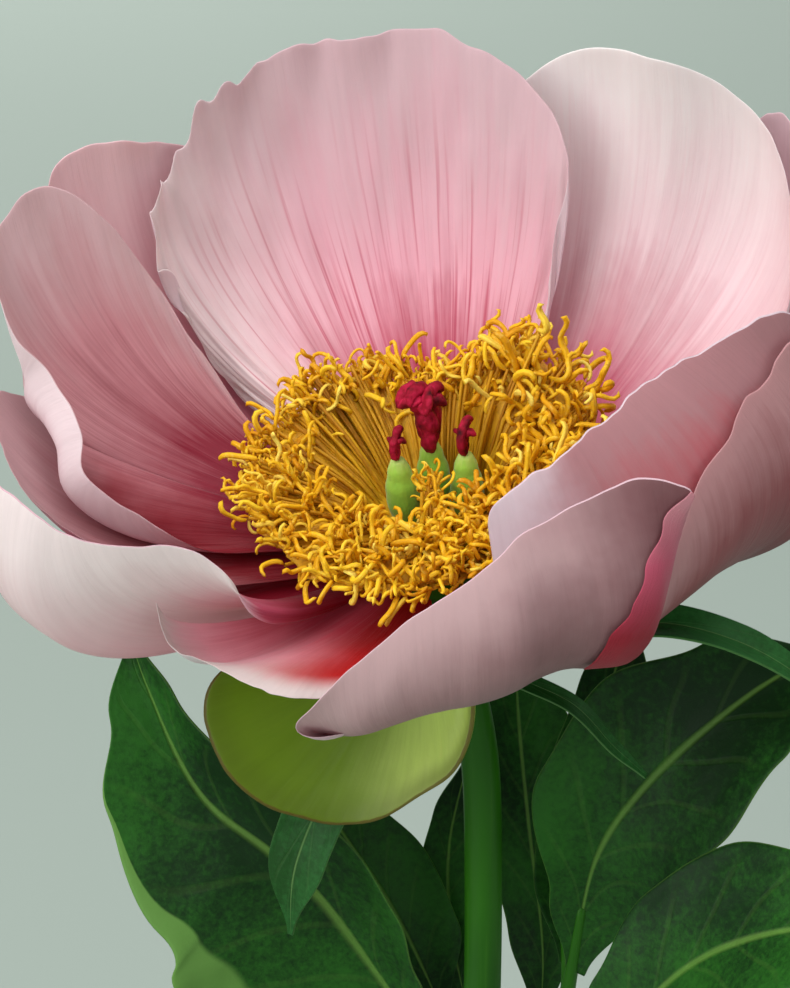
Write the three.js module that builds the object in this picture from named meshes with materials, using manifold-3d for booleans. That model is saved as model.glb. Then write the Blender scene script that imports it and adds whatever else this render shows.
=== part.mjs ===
// A peony in a bud vase: one open bloom on a leafy stem that stands in water in a small glazed vase.
// Units are millimetres and +Z is up. The front of the bloom looks along -Y, and +X is to its right.
// The origin is the centre of the vase's flat base.
import * as THREE from "three";
import { mergeVertices } from "three/addons/utils/BufferGeometryUtils.js";
import Module from "manifold-3d";

const wasm = await Module();
wasm.setup();

// ---------------------------------------------------------------- driving dimensions

const GAP = 0.3; // clearance kept between pieces that touch

const VASE_HEIGHT = 152;
const VASE_WALL = 3.2;
const VASE_FLOOR = 6;
const VASE_SIDES = 24;
const WATER_LEVEL = 104;
const WATER_SIDES = 16;

const STEM_RADIUS = 3.1;
const STEM_SIDES = 8;
const RECEPTACLE_RADIUS = 9.7;
const RECEPTACLE_SIDES = 20;

const BLOOM_CENTRE = new THREE.Vector3(0, 0, 290); // middle of the receptacle
const BLOOM_TILT = 12; // degrees that the bloom faces forward
const BLOOM_LEAN = -5; // degrees that it leans to the right, so it leans left

const PETAL_THICKNESS = 0.8;
const PETAL_CLAW = 5.2; // half the width of a petal where it joins the receptacle
const PETAL_COLUMNS = 13;
const PETAL_ROWS = 7;
const SEPAL_THICKNESS = 1;
const SEPAL_CLAW = 5.6;
const SEPAL_COLUMNS = 9;
const SEPAL_ROWS = 6;

const LEAF_THICKNESS = 0.9;
const LEAF_COLUMNS = 2; // columns on each side of the midrib
const LEAF_ROWS = 9;
const PETIOLE_RADIUS = 1.5;
const PETIOLE_SIDES = 6;

const ANTHER_COUNT = 76;
const STAMEN_SEED = 7;
const ANTHER_RADIUS = 0.9;
const ANTHER_SHORTEST = 2.5; // how far the inmost anthers stand out of the mass
const ANTHER_DEPTH = 3.4; // length of an anther's root inside the mass
const ANTHER_ROOT_IN = 0.12; // share of the reach that the outermost roots lie further in
const ANTHER_LEAN = 0.16; // share of the reach that the outermost anthers lean out
const ANTHER_HOOK = 3.2; // longest curled end of an anther
const ANTHER_BEND = 500; // degrees of sideways curl at a reach of one millimetre
const CARPEL_RADIUS = 2.7;
const CARPEL_SIDES = 10;
const CREST_SIDES = 7;

// ---------------------------------------------------------------- finishes

const finish = (color, roughness) =>
  new THREE.MeshStandardMaterial({ color, roughness, metalness: 0 });
const GLAZE = finish("#e9e4d8", 0.25);
const WATER = finish("#cfe0e2", 0.05);
const PETAL_INSIDE = finish("#e39fb1", 0.6);
const PETAL_OUTSIDE = finish("#d9bcc2", 0.6);
const SEPAL_GREEN = finish("#8fb52c", 0.5);
const BRACT_GREEN = finish("#2c6a30", 0.5);
const LEAF_GREEN = finish("#1f5a22", 0.45);
const STEM_GREEN = finish("#3f8a1c", 0.5);
const ANTHER_GOLD = finish("#e8ac1e", 0.8);
const CARPEL_LIME = finish("#8cc233", 0.5);

// ---------------------------------------------------------------- geometry helpers

const UP = new THREE.Vector3(0, 0, 1);
const radians = THREE.MathUtils.degToRad;

// A point given by its azimuth in degrees, its distance from the bloom's axis and its height on that axis.
function polar(azimuth, radius, height) {
  const angle = radians(azimuth);
  return new THREE.Vector3(
    radius * Math.cos(angle),
    radius * Math.sin(angle),
    height,
  );
}

const curveThrough = (points) =>
  new THREE.CatmullRomCurve3(points.map((p) => new THREE.Vector3(...p)));

// The value at t, from 0 to 1, of a list of numbers that are evenly spaced.
function along(values, t) {
  const place = t * (values.length - 1);
  const before = Math.min(Math.floor(place), values.length - 2);
  return THREE.MathUtils.lerp(
    values[before],
    values[before + 1],
    place - before,
  );
}

// The same, eased at each number, so that an outline has no corners.
function alongSmooth(values, t) {
  const place = t * (values.length - 1);
  const before = Math.min(Math.floor(place), values.length - 2);
  const ease = THREE.MathUtils.smoothstep(place - before, 0, 1);
  return THREE.MathUtils.lerp(values[before], values[before + 1], ease);
}

function geometryOf(positions, triangles) {
  const geometry = new THREE.BufferGeometry();
  geometry.setAttribute(
    "position",
    new THREE.Float32BufferAttribute(positions, 3),
  );
  geometry.setIndex(triangles);
  return geometry;
}

// Turns a closed geometry's faces outward if its signed volume is negative.
function facingOut(geometry) {
  const position = geometry.getAttribute("position");
  const index = geometry.index.array;
  const corner = (k) =>
    new THREE.Vector3().fromBufferAttribute(position, index[k]);
  let volume = 0;
  for (let i = 0; i < index.length; i += 3)
    volume += corner(i).dot(corner(i + 1).cross(corner(i + 2)));
  if (volume < 0)
    for (let i = 0; i < index.length; i += 3)
      [index[i + 1], index[i + 2]] = [index[i + 2], index[i + 1]];
  return geometry;
}

// A closed sheet of even thickness round a grid of points, split into the same triangles on both faces.
function sheet(grid, thickness) {
  const rows = grid.length;
  const columns = grid[0].length;
  const last = (n, limit) => Math.min(n, limit - 1);
  const positions = [];
  for (const side of [1, -1])
    grid.forEach((line, i) =>
      line.forEach((point, j) => {
        const lengthwise = grid[last(i + 1, rows)][j]
          .clone()
          .sub(grid[Math.max(i - 1, 0)][j]);
        const crosswise = line[last(j + 1, columns)]
          .clone()
          .sub(line[Math.max(j - 1, 0)]);
        const normal = lengthwise.cross(crosswise).normalize();
        positions.push(
          ...point.clone().addScaledVector(normal, (side * thickness) / 2),
        );
      }),
    );
  const upper = (i, j) => i * columns + j;
  const lower = (i, j) => rows * columns + upper(i, j);
  const triangles = [];
  for (let i = 0; i < rows - 1; i++)
    for (let j = 0; j < columns - 1; j++) {
      const corners = [
        [i, j],
        [i + 1, j],
        [i + 1, j + 1],
        [i, j + 1],
      ];
      const [a, b, c, d] = corners.map(([r, s]) => upper(r, s));
      const [e, f, g, h] = corners.map(([r, s]) => lower(r, s));
      triangles.push(a, b, c, a, c, d, e, g, f, e, h, g);
    }
  const rim = [];
  for (let i = 0; i < rows; i++) rim.push([i, 0]);
  for (let j = 1; j < columns; j++) rim.push([rows - 1, j]);
  for (let i = rows - 2; i >= 0; i--) rim.push([i, columns - 1]);
  for (let j = columns - 2; j > 0; j--) rim.push([0, j]);
  rim.forEach(([i, j], k) => {
    const [m, n] = rim[(k + 1) % rim.length];
    triangles.push(upper(i, j), lower(i, j), lower(m, n));
    triangles.push(upper(i, j), lower(m, n), upper(m, n));
  });
  return facingOut(geometryOf(positions, triangles));
}

// A closed round rod along a list of points, with its own radius at each.
function rod(points, radii, sides) {
  const positions = [];
  const triangles = [];
  const side = new THREE.Vector3(0.31, 0.87, 0.39);
  points.forEach((point, i) => {
    const tangent = points[Math.min(i + 1, points.length - 1)]
      .clone()
      .sub(points[Math.max(i - 1, 0)])
      .normalize();
    side.addScaledVector(tangent, -side.dot(tangent)).normalize();
    const other = tangent.clone().cross(side);
    for (let k = 0; k < sides; k++) {
      const angle = (2 * Math.PI * k) / sides;
      const corner = point
        .clone()
        .addScaledVector(side, radii[i] * Math.cos(angle))
        .addScaledVector(other, radii[i] * Math.sin(angle));
      positions.push(...corner);
    }
  });
  for (let i = 0; i < points.length - 1; i++)
    for (let k = 0; k < sides; k++) {
      const next = (k + 1) % sides;
      const [a, b] = [i * sides + k, i * sides + next];
      triangles.push(a, b, b + sides, a, b + sides, a + sides);
    }
  const end = (points.length - 1) * sides;
  for (let k = 1; k < sides - 1; k++)
    triangles.push(0, k + 1, k, end, end + k, end + k + 1);
  return facingOut(geometryOf(positions, triangles));
}

// ---------------------------------------------------------------- joining solids

function solidOf(geometry) {
  const bare = geometry.clone();
  bare.deleteAttribute("normal");
  bare.deleteAttribute("uv");
  const merged = mergeVertices(bare, 1e-4);
  return new wasm.Manifold(
    new wasm.Mesh({
      numProp: 3,
      vertProperties: new Float32Array(merged.attributes.position.array),
      triVerts: new Uint32Array(merged.index.array),
    }),
  );
}

function geometryOfSolid(solid) {
  const mesh = solid.getMesh();
  const positions = [];
  for (let i = 0; i < mesh.numVert; i++)
    positions.push(
      ...mesh.vertProperties.subarray(i * mesh.numProp, i * mesh.numProp + 3),
    );
  return geometryOf(positions, Array.from(mesh.triVerts));
}

const fuse = (geometries) =>
  geometryOfSolid(
    geometries.map(solidOf).reduce((whole, part) => whole.add(part)),
  );

function named(name, geometry, material) {
  const mesh = new THREE.Mesh(geometry, material);
  mesh.name = name;
  return mesh;
}

// A solid of revolution about +Z from a profile of [radius, height] points that starts and ends on the axis.
function turned(profile, sides) {
  const points = profile.map(([r, z]) => new THREE.Vector2(r, z));
  const lathe = new THREE.LatheGeometry(points, sides).rotateX(Math.PI / 2);
  lathe.deleteAttribute("normal");
  lathe.deleteAttribute("uv");
  return facingOut(mergeVertices(lathe, 1e-4));
}

// ---------------------------------------------------------------- vase

// The body's half section from the foot to the lip, outside and inside.
const VASE_OUTSIDE = [
  [27, 0],
  [28.5, 1.2],
  [32.5, 12],
  [36.6, 28],
  [38, 46],
  [36.2, 63],
  [30.8, 79],
  [23.4, 93],
  [17.6, 106],
  [14.9, 120],
  [14.4, 134],
  [15.6, 145],
  [17.6, VASE_HEIGHT - 1.4],
];
const VASE_LIP = [
  [17.4, VASE_HEIGHT - 0.4],
  [16.4, VASE_HEIGHT],
  [14.9, VASE_HEIGHT - 0.7],
];
const insideRadius = ([r, z]) => [r - VASE_WALL, z];
const VASE_INSIDE = VASE_OUTSIDE.filter(
  ([, z]) => z > VASE_FLOOR && z < VASE_HEIGHT - 2,
).map(insideRadius);
const VASE_INNER_FLOOR = 25; // radius of the flat inside floor

function vase() {
  const inwards = [...VASE_INSIDE].reverse();
  return turned(
    [
      [0, 0],
      ...VASE_OUTSIDE,
      ...VASE_LIP,
      ...inwards,
      [VASE_INNER_FLOOR, VASE_FLOOR],
      [0, VASE_FLOOR],
    ],
    VASE_SIDES,
  );
}

// The inner radius at a height, between the profile's points.
function insideRadiusAt(height) {
  const above = VASE_INSIDE.findIndex(([, z]) => z >= height);
  const [[r0, z0], [r1, z1]] = [VASE_INSIDE[above - 1], VASE_INSIDE[above]];
  return THREE.MathUtils.mapLinear(height, z0, z1, r0, r1);
}

// ---------------------------------------------------------------- stem, water and receptacle

// The stem's middle line, from its cut foot on the vase's floor, past the back right of the neck,
// to the bloom.
const STEM_LINE = [
  [-13.5, -9.5, VASE_FLOOR + 1.2],
  [-3.4, -2, 80],
  [5.2, 4.6, 150],
  [7.2, 6.2, 190],
  [7.5, 6.3, 225],
  [6.6, 5.6, 250],
  [3.4, 3.6, 268],
  [1.1, 2.2, 279],
];
const STEM_STEPS = 16;

function tubeAlongStem(radius) {
  const outline = new THREE.Shape().absarc(0, 0, radius, 0, 2 * Math.PI);
  const tube = new THREE.ExtrudeGeometry(outline, {
    curveSegments: STEM_SIDES / 2,
    steps: STEM_STEPS,
    extrudePath: curveThrough(STEM_LINE),
  });
  tube.deleteAttribute("normal");
  tube.deleteAttribute("uv");
  return facingOut(mergeVertices(tube, 1e-3));
}

// The hole that the stem stands in, open at the water's top and at its bottom.
const STEM_HOLE_RADIUS = STEM_RADIUS + 1.2;
const STEM_HOLE_SIDES = 12;

function stemHole() {
  const [foot, bend, neck] = STEM_LINE.map((p) => new THREE.Vector3(...p));
  const below = foot.clone().lerp(bend, -0.25);
  const above = bend.clone().lerp(neck, 0.6);
  const radii = [STEM_HOLE_RADIUS, STEM_HOLE_RADIUS, STEM_HOLE_RADIUS];
  return rod([below, bend, above], radii, STEM_HOLE_SIDES);
}

// The water's sides are fewer than the vase's, so it stands back far enough to clear the vase's flat facets.
const WATER_INSET = 1.4;

function water() {
  const wetted = VASE_INSIDE.filter(([, z]) => z < WATER_LEVEL);
  const filled = turned(
    [
      [0, VASE_FLOOR + GAP],
      [VASE_INNER_FLOOR - WATER_INSET, VASE_FLOOR + GAP],
      ...wetted.map(([r, z]) => [r - WATER_INSET, z]),
      [insideRadiusAt(WATER_LEVEL) - WATER_INSET, WATER_LEVEL],
      [0, WATER_LEVEL],
    ],
    WATER_SIDES,
  );
  return geometryOfSolid(solidOf(filled).subtract(solidOf(stemHole())));
}

// The swollen top of the stem that carries the sepals, petals, stamens and carpels.
const RECEPTACLE_TOP = 2;
const RECEPTACLE = [
  [0, -16],
  [STEM_RADIUS, -15],
  [4.2, -12.4],
  [7.2, -10.2],
  [9.2, -8],
  [RECEPTACLE_RADIUS + 0.4, -6.2],
  [RECEPTACLE_RADIUS + 0.4, -3.4],
  [RECEPTACLE_RADIUS, 0],
  [RECEPTACLE_RADIUS, 1.2],
  [RECEPTACLE_RADIUS - 0.4, RECEPTACLE_TOP],
  [0, RECEPTACLE_TOP],
];

// ---------------------------------------------------------------- petals and sepals

// Each petal is a fan of curved ribs. A rib leaves the receptacle at the claw, rises at the angle start,
// and meets the outline at the angle that the outline's point gives. first and last set how far each end
// bends the rib.
// An outline point is [azimuth, radius, height, angle of the rib's end above the horizontal].
const PETALS = {
  petal_back: {
    claw: [92, 9.9, 1.2],
    start: 24,
    first: 0.42,
    last: 0.36,
    outline: [
      [134, 40, 9, 60],
      [138, 48, 22, 80],
      [140, 53, 34, 88],
      [139, 55, 43, 90],
      [128, 57, 52, 90],
      [114, 58, 59, 88],
      [101, 54, 61, 80],
      [86, 54, 62, 72],
      [73, 51, 58, 70],
      [63, 48, 52, 70],
      [57, 45, 44, 75],
      [57, 40, 34, 80],
      [57, 36, 25, 75],
      [61, 33, 14, 55],
    ],
  },
  petal_left_back: {
    claw: [160, 9.9, 1.2],
    start: 13,
    first: 0.5,
    last: 0.36,
    outline: [
      [185, 42, 9, 50],
      [178, 54, 18, 150],
      [174, 54, 22, 170],
      [168, 60, 30, 150],
      [167, 65, 35, 90],
      [164, 68, 42, 85],
      [161, 68, 50, 85],
      [159, 65, 54, 88],
      [156, 62, 55, 90],
      [154, 58, 53, 90],
      [152, 54, 48, 88],
      [148, 48, 34, 75],
      [147, 43, 24, 65],
      [145, 38, 13, 50],
    ],
  },
  petal_back_right: {
    claw: [42, 10.1, -0.1],
    start: 12,
    first: 0.46,
    last: 0.38,
    outline: [
      [62, 40, 10, 55],
      [69, 45, 32, 78],
      [72, 52, 50, 86],
      [62, 55, 59, 92],
      [48, 58, 59, 94],
      [42, 64, 55, 96],
      [36, 67, 49, 98],
      [29, 66, 42, 98],
      [23, 63, 34, 95],
      [20, 60, 25, 80],
      [22, 53, 14, 55],
    ],
  },
  petal_right: {
    claw: [332, 10.1, -0.1],
    start: [-4, -14, -19, -15, -4, -4, -4],
    first: 0.85,
    last: 0.74,
    outline: [
      [6, 52, 19, 70],
      [5, 58, 33, 92],
      [2, 55, 38, 108],
      [356, 45, 37, 135],
      [342, 36, 36, 148],
      [320, 31, 33, 138],
      [302, 29, 29.5, 122],
      [293, 31, 22, 108],
      [290, 33, 12, 85],
    ],
  },
  petal_front_left_low: {
    claw: [232, 10.4, -2.7],
    start: [0, -3, -5, -6, -6, -6, -6],
    first: 0.45,
    last: [0.22, 0.28, 0.3, 0.3, 0.3, 0.3, 0.3],
    outline: [
      [206.5, 47.5, 9, 88],
      [208, 47.9, 5.5, 80],
      [209.5, 47.6, 2.8, 70],
      [212.5, 47, 1.8, 60],
      [216, 46.4, 2.6, 50],
      [221, 46, 3.2, 35],
      [226, 45.6, 3, 15],
      [232, 44.8, 2.2, 0],
      [238, 43.5, 1.2, -15],
      [244, 40.5, 0.2, -15],
      [250, 37.5, -0.4, -10],
      [257, 34.5, -0.8, 0],
      [264, 31, -1.2, 0],
      [270, 26, -2, 0],
    ],
  },
  petal_left: {
    claw: [180, 10.1, -0.1],
    start: 0,
    first: 0.5,
    last: 0.35,
    outline: [
      [161, 52, 11, 50],
      [165, 66, 22, 60],
      [168, 69, 25, 60],
      [172, 68, 24, 65],
      [177, 66, 21, 65],
      [183, 60, 14, 65],
      [187, 50, 6, 50],
    ],
  },
  petal_left_behind: {
    claw: [135.5, 10.3, -1.5],
    start: -1,
    first: 0.5,
    last: 0.36,
    outline: [
      [150, 52, 10, 55],
      [153, 63, 30, 75],
      [151, 67, 42, 85],
      [147, 67, 52, 90],
      [142, 63, 54, 92],
      [138, 60, 53, 94],
      [130, 60, 49, 92],
      [120, 60, 42, 90],
      [110, 58, 28, 80],
      [106, 52, 13, 60],
    ],
  },
  petal_right_behind: {
    claw: [24, 10.3, -1.5],
    start: -1,
    first: 0.5,
    last: 0.38,
    outline: [
      [46, 62, 26, 75],
      [42, 71, 42, 88],
      [38, 73, 47, 92],
      [31, 73, 43, 92],
      [24, 70, 36, 92],
      [20, 66, 24, 85],
      [19, 59, 12, 60],
    ],
  },
  petal_front: {
    claw: [280, 10.5, -4],
    start: -12,
    first: 0.6,
    last: 0.56,
    outline: [
      [313, 28, -9, 0],
      [317, 39.5, -4, 10],
      [320, 44.5, 6, 40],
      [319, 47.5, 16, 62],
      [317, 50, 26, 80],
      [315, 54.5, 35, 95],
      [311, 48.5, 37, 115],
      [306, 43, 33.5, 128],
      [300, 39.5, 30, 135],
      [293, 39, 28.5, 135],
      [286, 40.5, 27, 135],
      [278, 41.5, 22, 130],
      [267, 42, 16, 125],
      [254, 44, 6, 110],
      [243, 46, -3, 95],
      [240, 43, -8, 30],
    ],
  },
  petal_front_left: {
    claw: [196, 10.3, -1.4],
    start: [-6, -8, -11, -14, -20, -4, 2, 2, 0, -2, -3, -3, -3],
    first: [0.6, 0.62, 0.64, 0.66, 0.66, 0.45, 0.4, 0.38, 0.36, 0.34, 0.34, 0.34, 0.34],
    last: [0.5, 0.5, 0.54, 0.58, 0.6, 0.4, 0.36, 0.34, 0.34, 0.34, 0.34, 0.34, 0.34],
    outline: [
      [181, 60, 7, 50],
      [184, 67, 18, 80],
      [188, 69, 29, 100],
      [193, 66, 29, 112],
      [198.5, 62, 26, 110],
      [203, 57, 22.5, 84],
      [208, 51, 22, 76],
      [213, 45.5, 22, 78],
      [217, 42.5, 20.5, 80],
      [221, 40.5, 17, 80],
      [220, 38, 11, 80],
      [216, 35, 5, 60],
      [211, 31.5, 1.5, 30],
    ],
  },
};

const SEPALS = {
  sepal_front: {
    claw: [235, 10.8, -5.6],
    start: -70,
    first: 0.4,
    last: 0.35,
    outline: [
      [192, 30, -12, 10],
      [197, 39, -17, 0],
      [206, 40, -25, -15],
      [215, 38, -31, -25],
      [224, 34, -34, -35],
      [233, 31, -35, -40],
      [244, 28, -34, -35],
      [256, 24, -31, -25],
      [269, 22, -28, -15],
      [279, 19, -22, 0],
      [284, 16, -14, 10],
    ],
  },
  sepal_right: {
    claw: [338, 10.5, -5.8],
    start: -22,
    first: 0.45,
    last: 0.4,
    outline: [
      [318, 17, -10, 0],
      [322, 22, -12, 0],
      [330, 25, -12.5, 5],
      [341, 26, -12.5, 5],
      [352, 25, -12, 5],
      [1, 22, -11, 0],
      [6, 17, -9.5, 0],
    ],
  },
  sepal_back: {
    claw: [100, 10.5, -5.8],
    start: -25,
    first: 0.45,
    last: 0.4,
    outline: [
      [62, 20, -10, 15],
      [70, 29, -10, 30],
      [84, 34, -9, 35],
      [100, 36, -8, 40],
      [116, 34, -9, 35],
      [130, 29, -10, 30],
      [138, 20, -10, 15],
    ],
  },
};

// A bend is one number for the whole petal, or a list of them that are evenly spaced along its outline.
const bendAt = (bend, t) => (Array.isArray(bend) ? along(bend, t) : bend);

// The grid of a petal or sepal: one rib for each column, with its points from the claw to the outline.
function ribs({ claw, start, first, last, outline }, halfClaw, columns, rows) {
  const [clawAzimuth, clawRadius, clawHeight] = claw;
  const unwrapped = outline.map(([a, r, h]) => polar(a, r, h));
  const edge = new THREE.CatmullRomCurve3(unwrapped);
  const endAngles = outline.map((point) => point[3]);
  const clawSide = polar(clawAzimuth + 90, 1, 0);
  const turn = Math.sign(
    unwrapped[0].clone().sub(unwrapped.at(-1)).dot(clawSide),
  );
  const grid = [];
  for (let i = 0; i < columns; i++) {
    const share = i / (columns - 1);
    const t = edge.getUtoTmapping(share);
    const tip = edge.getPoint(t);
    const swing = ((1 - 2 * share) * halfClaw * turn) / clawRadius;
    const root = polar(
      clawAzimuth + THREE.MathUtils.radToDeg(swing),
      clawRadius,
      clawHeight,
    );
    const reach = tip.distanceTo(root);
    const outFromRoot = tip.clone().sub(root).setZ(0).normalize();
    const outAtTip = tip.clone().setZ(0).normalize();
    const startAngle = radians(bendAt(start, t));
    const leave = outFromRoot
      .multiplyScalar(Math.cos(startAngle))
      .addScaledVector(UP, Math.sin(startAngle));
    const endAngle = radians(along(endAngles, t));
    const arrive = outAtTip
      .multiplyScalar(Math.cos(endAngle))
      .addScaledVector(UP, Math.sin(endAngle));
    const rib = new THREE.CubicBezierCurve3(
      root,
      root.clone().addScaledVector(leave, reach * bendAt(first, t)),
      tip.clone().addScaledVector(arrive, -reach * bendAt(last, t)),
      tip,
    );
    grid.push(rib.getPoints(rows));
  }
  return grid;
}

const OUTER_FACE_SHOWS = [
  "petal_front",
  "petal_front_left",
  "petal_right",
  "petal_right_behind",
];

function petals() {
  return Object.entries(PETALS).map(([name, shape]) =>
    named(
      name,
      sheet(
        ribs(shape, PETAL_CLAW, PETAL_COLUMNS, PETAL_ROWS),
        PETAL_THICKNESS,
      ),
      OUTER_FACE_SHOWS.includes(name) ? PETAL_OUTSIDE : PETAL_INSIDE,
    ),
  );
}

function sepals() {
  return Object.entries(SEPALS).map(([name, shape]) =>
    named(
      name,
      sheet(
        ribs(shape, SEPAL_CLAW, SEPAL_COLUMNS, SEPAL_ROWS),
        SEPAL_THICKNESS,
      ),
      SEPAL_GREEN,
    ),
  );
}

// ---------------------------------------------------------------- leaf blades

// A blade hangs on its midrib, given from base to tip. face is the way its upper side looks. left and right
// are the half widths at even steps along it, and fold is how far each half rises towards face, in degrees.
function bladeGrid({ midrib, face, left, right, fold, droop = 0 }) {
  const curve = curveThrough(midrib);
  const facing = new THREE.Vector3(...face);
  const grid = [];
  for (let i = 0; i <= LEAF_ROWS; i++) {
    const t = i / LEAF_ROWS;
    const point = curve.getPointAt(t);
    const tangent = curve.getTangentAt(t);
    const rise = facing
      .clone()
      .addScaledVector(tangent, -facing.dot(tangent))
      .normalize();
    const across = tangent.clone().cross(rise);
    const line = [];
    for (let k = -LEAF_COLUMNS; k <= LEAF_COLUMNS; k++) {
      const share = k / LEAF_COLUMNS;
      const width = share * alongSmooth(share < 0 ? left : right, t);
      const lift = radians(fold[share < 0 ? 0 : 1] - droop * Math.abs(share));
      line.push(
        point
          .clone()
          .addScaledVector(across, width * Math.cos(lift))
          .addScaledVector(rise, Math.abs(width) * Math.sin(lift)),
      );
    }
    grid.push(line);
  }
  return grid;
}

const blade = (shape) => sheet(bladeGrid(shape), LEAF_THICKNESS);

// The narrow leafy sepals below the bloom, in the bloom's own frame.
const BRACTS = {
  bract_front: {
    midrib: [
      [-6.6, -6.2, -9],
      [-13, -8, -22],
      [-21, -12, -37],
      [-27.5, -17, -50],
      [-29.6, -18.4, -63],
    ],
    face: [-0.5, -1, 0.4],
    left: [2.2, 4.2, 5.6, 5.4, 0.5],
    right: [2.2, 4.2, 5.4, 5, 0.5],
    fold: [10, 10],
  },
  bract_right: {
    midrib: [
      [7.7, -1.6, -11.6],
      [20, -3.8, -16],
      [34, -6, -14],
      [46, -8, -17.5],
      [56, -9.5, -25],
      [65, -10.5, -35],
    ],
    face: [0.35, -0.3, 1],
    left: [2, 3.2, 3.6, 3.2, 2.4, 0.5],
    right: [2, 3.2, 3.6, 3.2, 2.4, 0.5],
    fold: [18, 18],
  },
  bract_thin: {
    midrib: [
      [2.9, -8.6, -10],
      [8, -14, -14],
      [19, -19.5, -18],
      [24.5, -19, -27],
      [29.6, -16.5, -36],
    ],
    face: [0.3, -0.7, 0.8],
    left: [1.4, 1.6, 1.5, 1.2, 0.5],
    right: [1.4, 1.6, 1.5, 1.2, 0.5],
    fold: [12, 12],
  },
  bract_back: {
    midrib: [
      [-5.2, 7.8, -9.2],
      [-10, 20, -16],
      [-14, 31, -24],
      [-16.5, 39, -38],
      [-17.5, 43, -52],
    ],
    face: [-0.2, 0.8, 0.6],
    left: [2.2, 4.2, 5, 3.6, 0.5],
    right: [2.2, 4.2, 5, 3.6, 0.5],
    fold: [12, 12],
  },
};

const bracts = () =>
  Object.entries(BRACTS).map(([name, shape]) =>
    named(name, blade(shape), BRACT_GREEN),
  );

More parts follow.
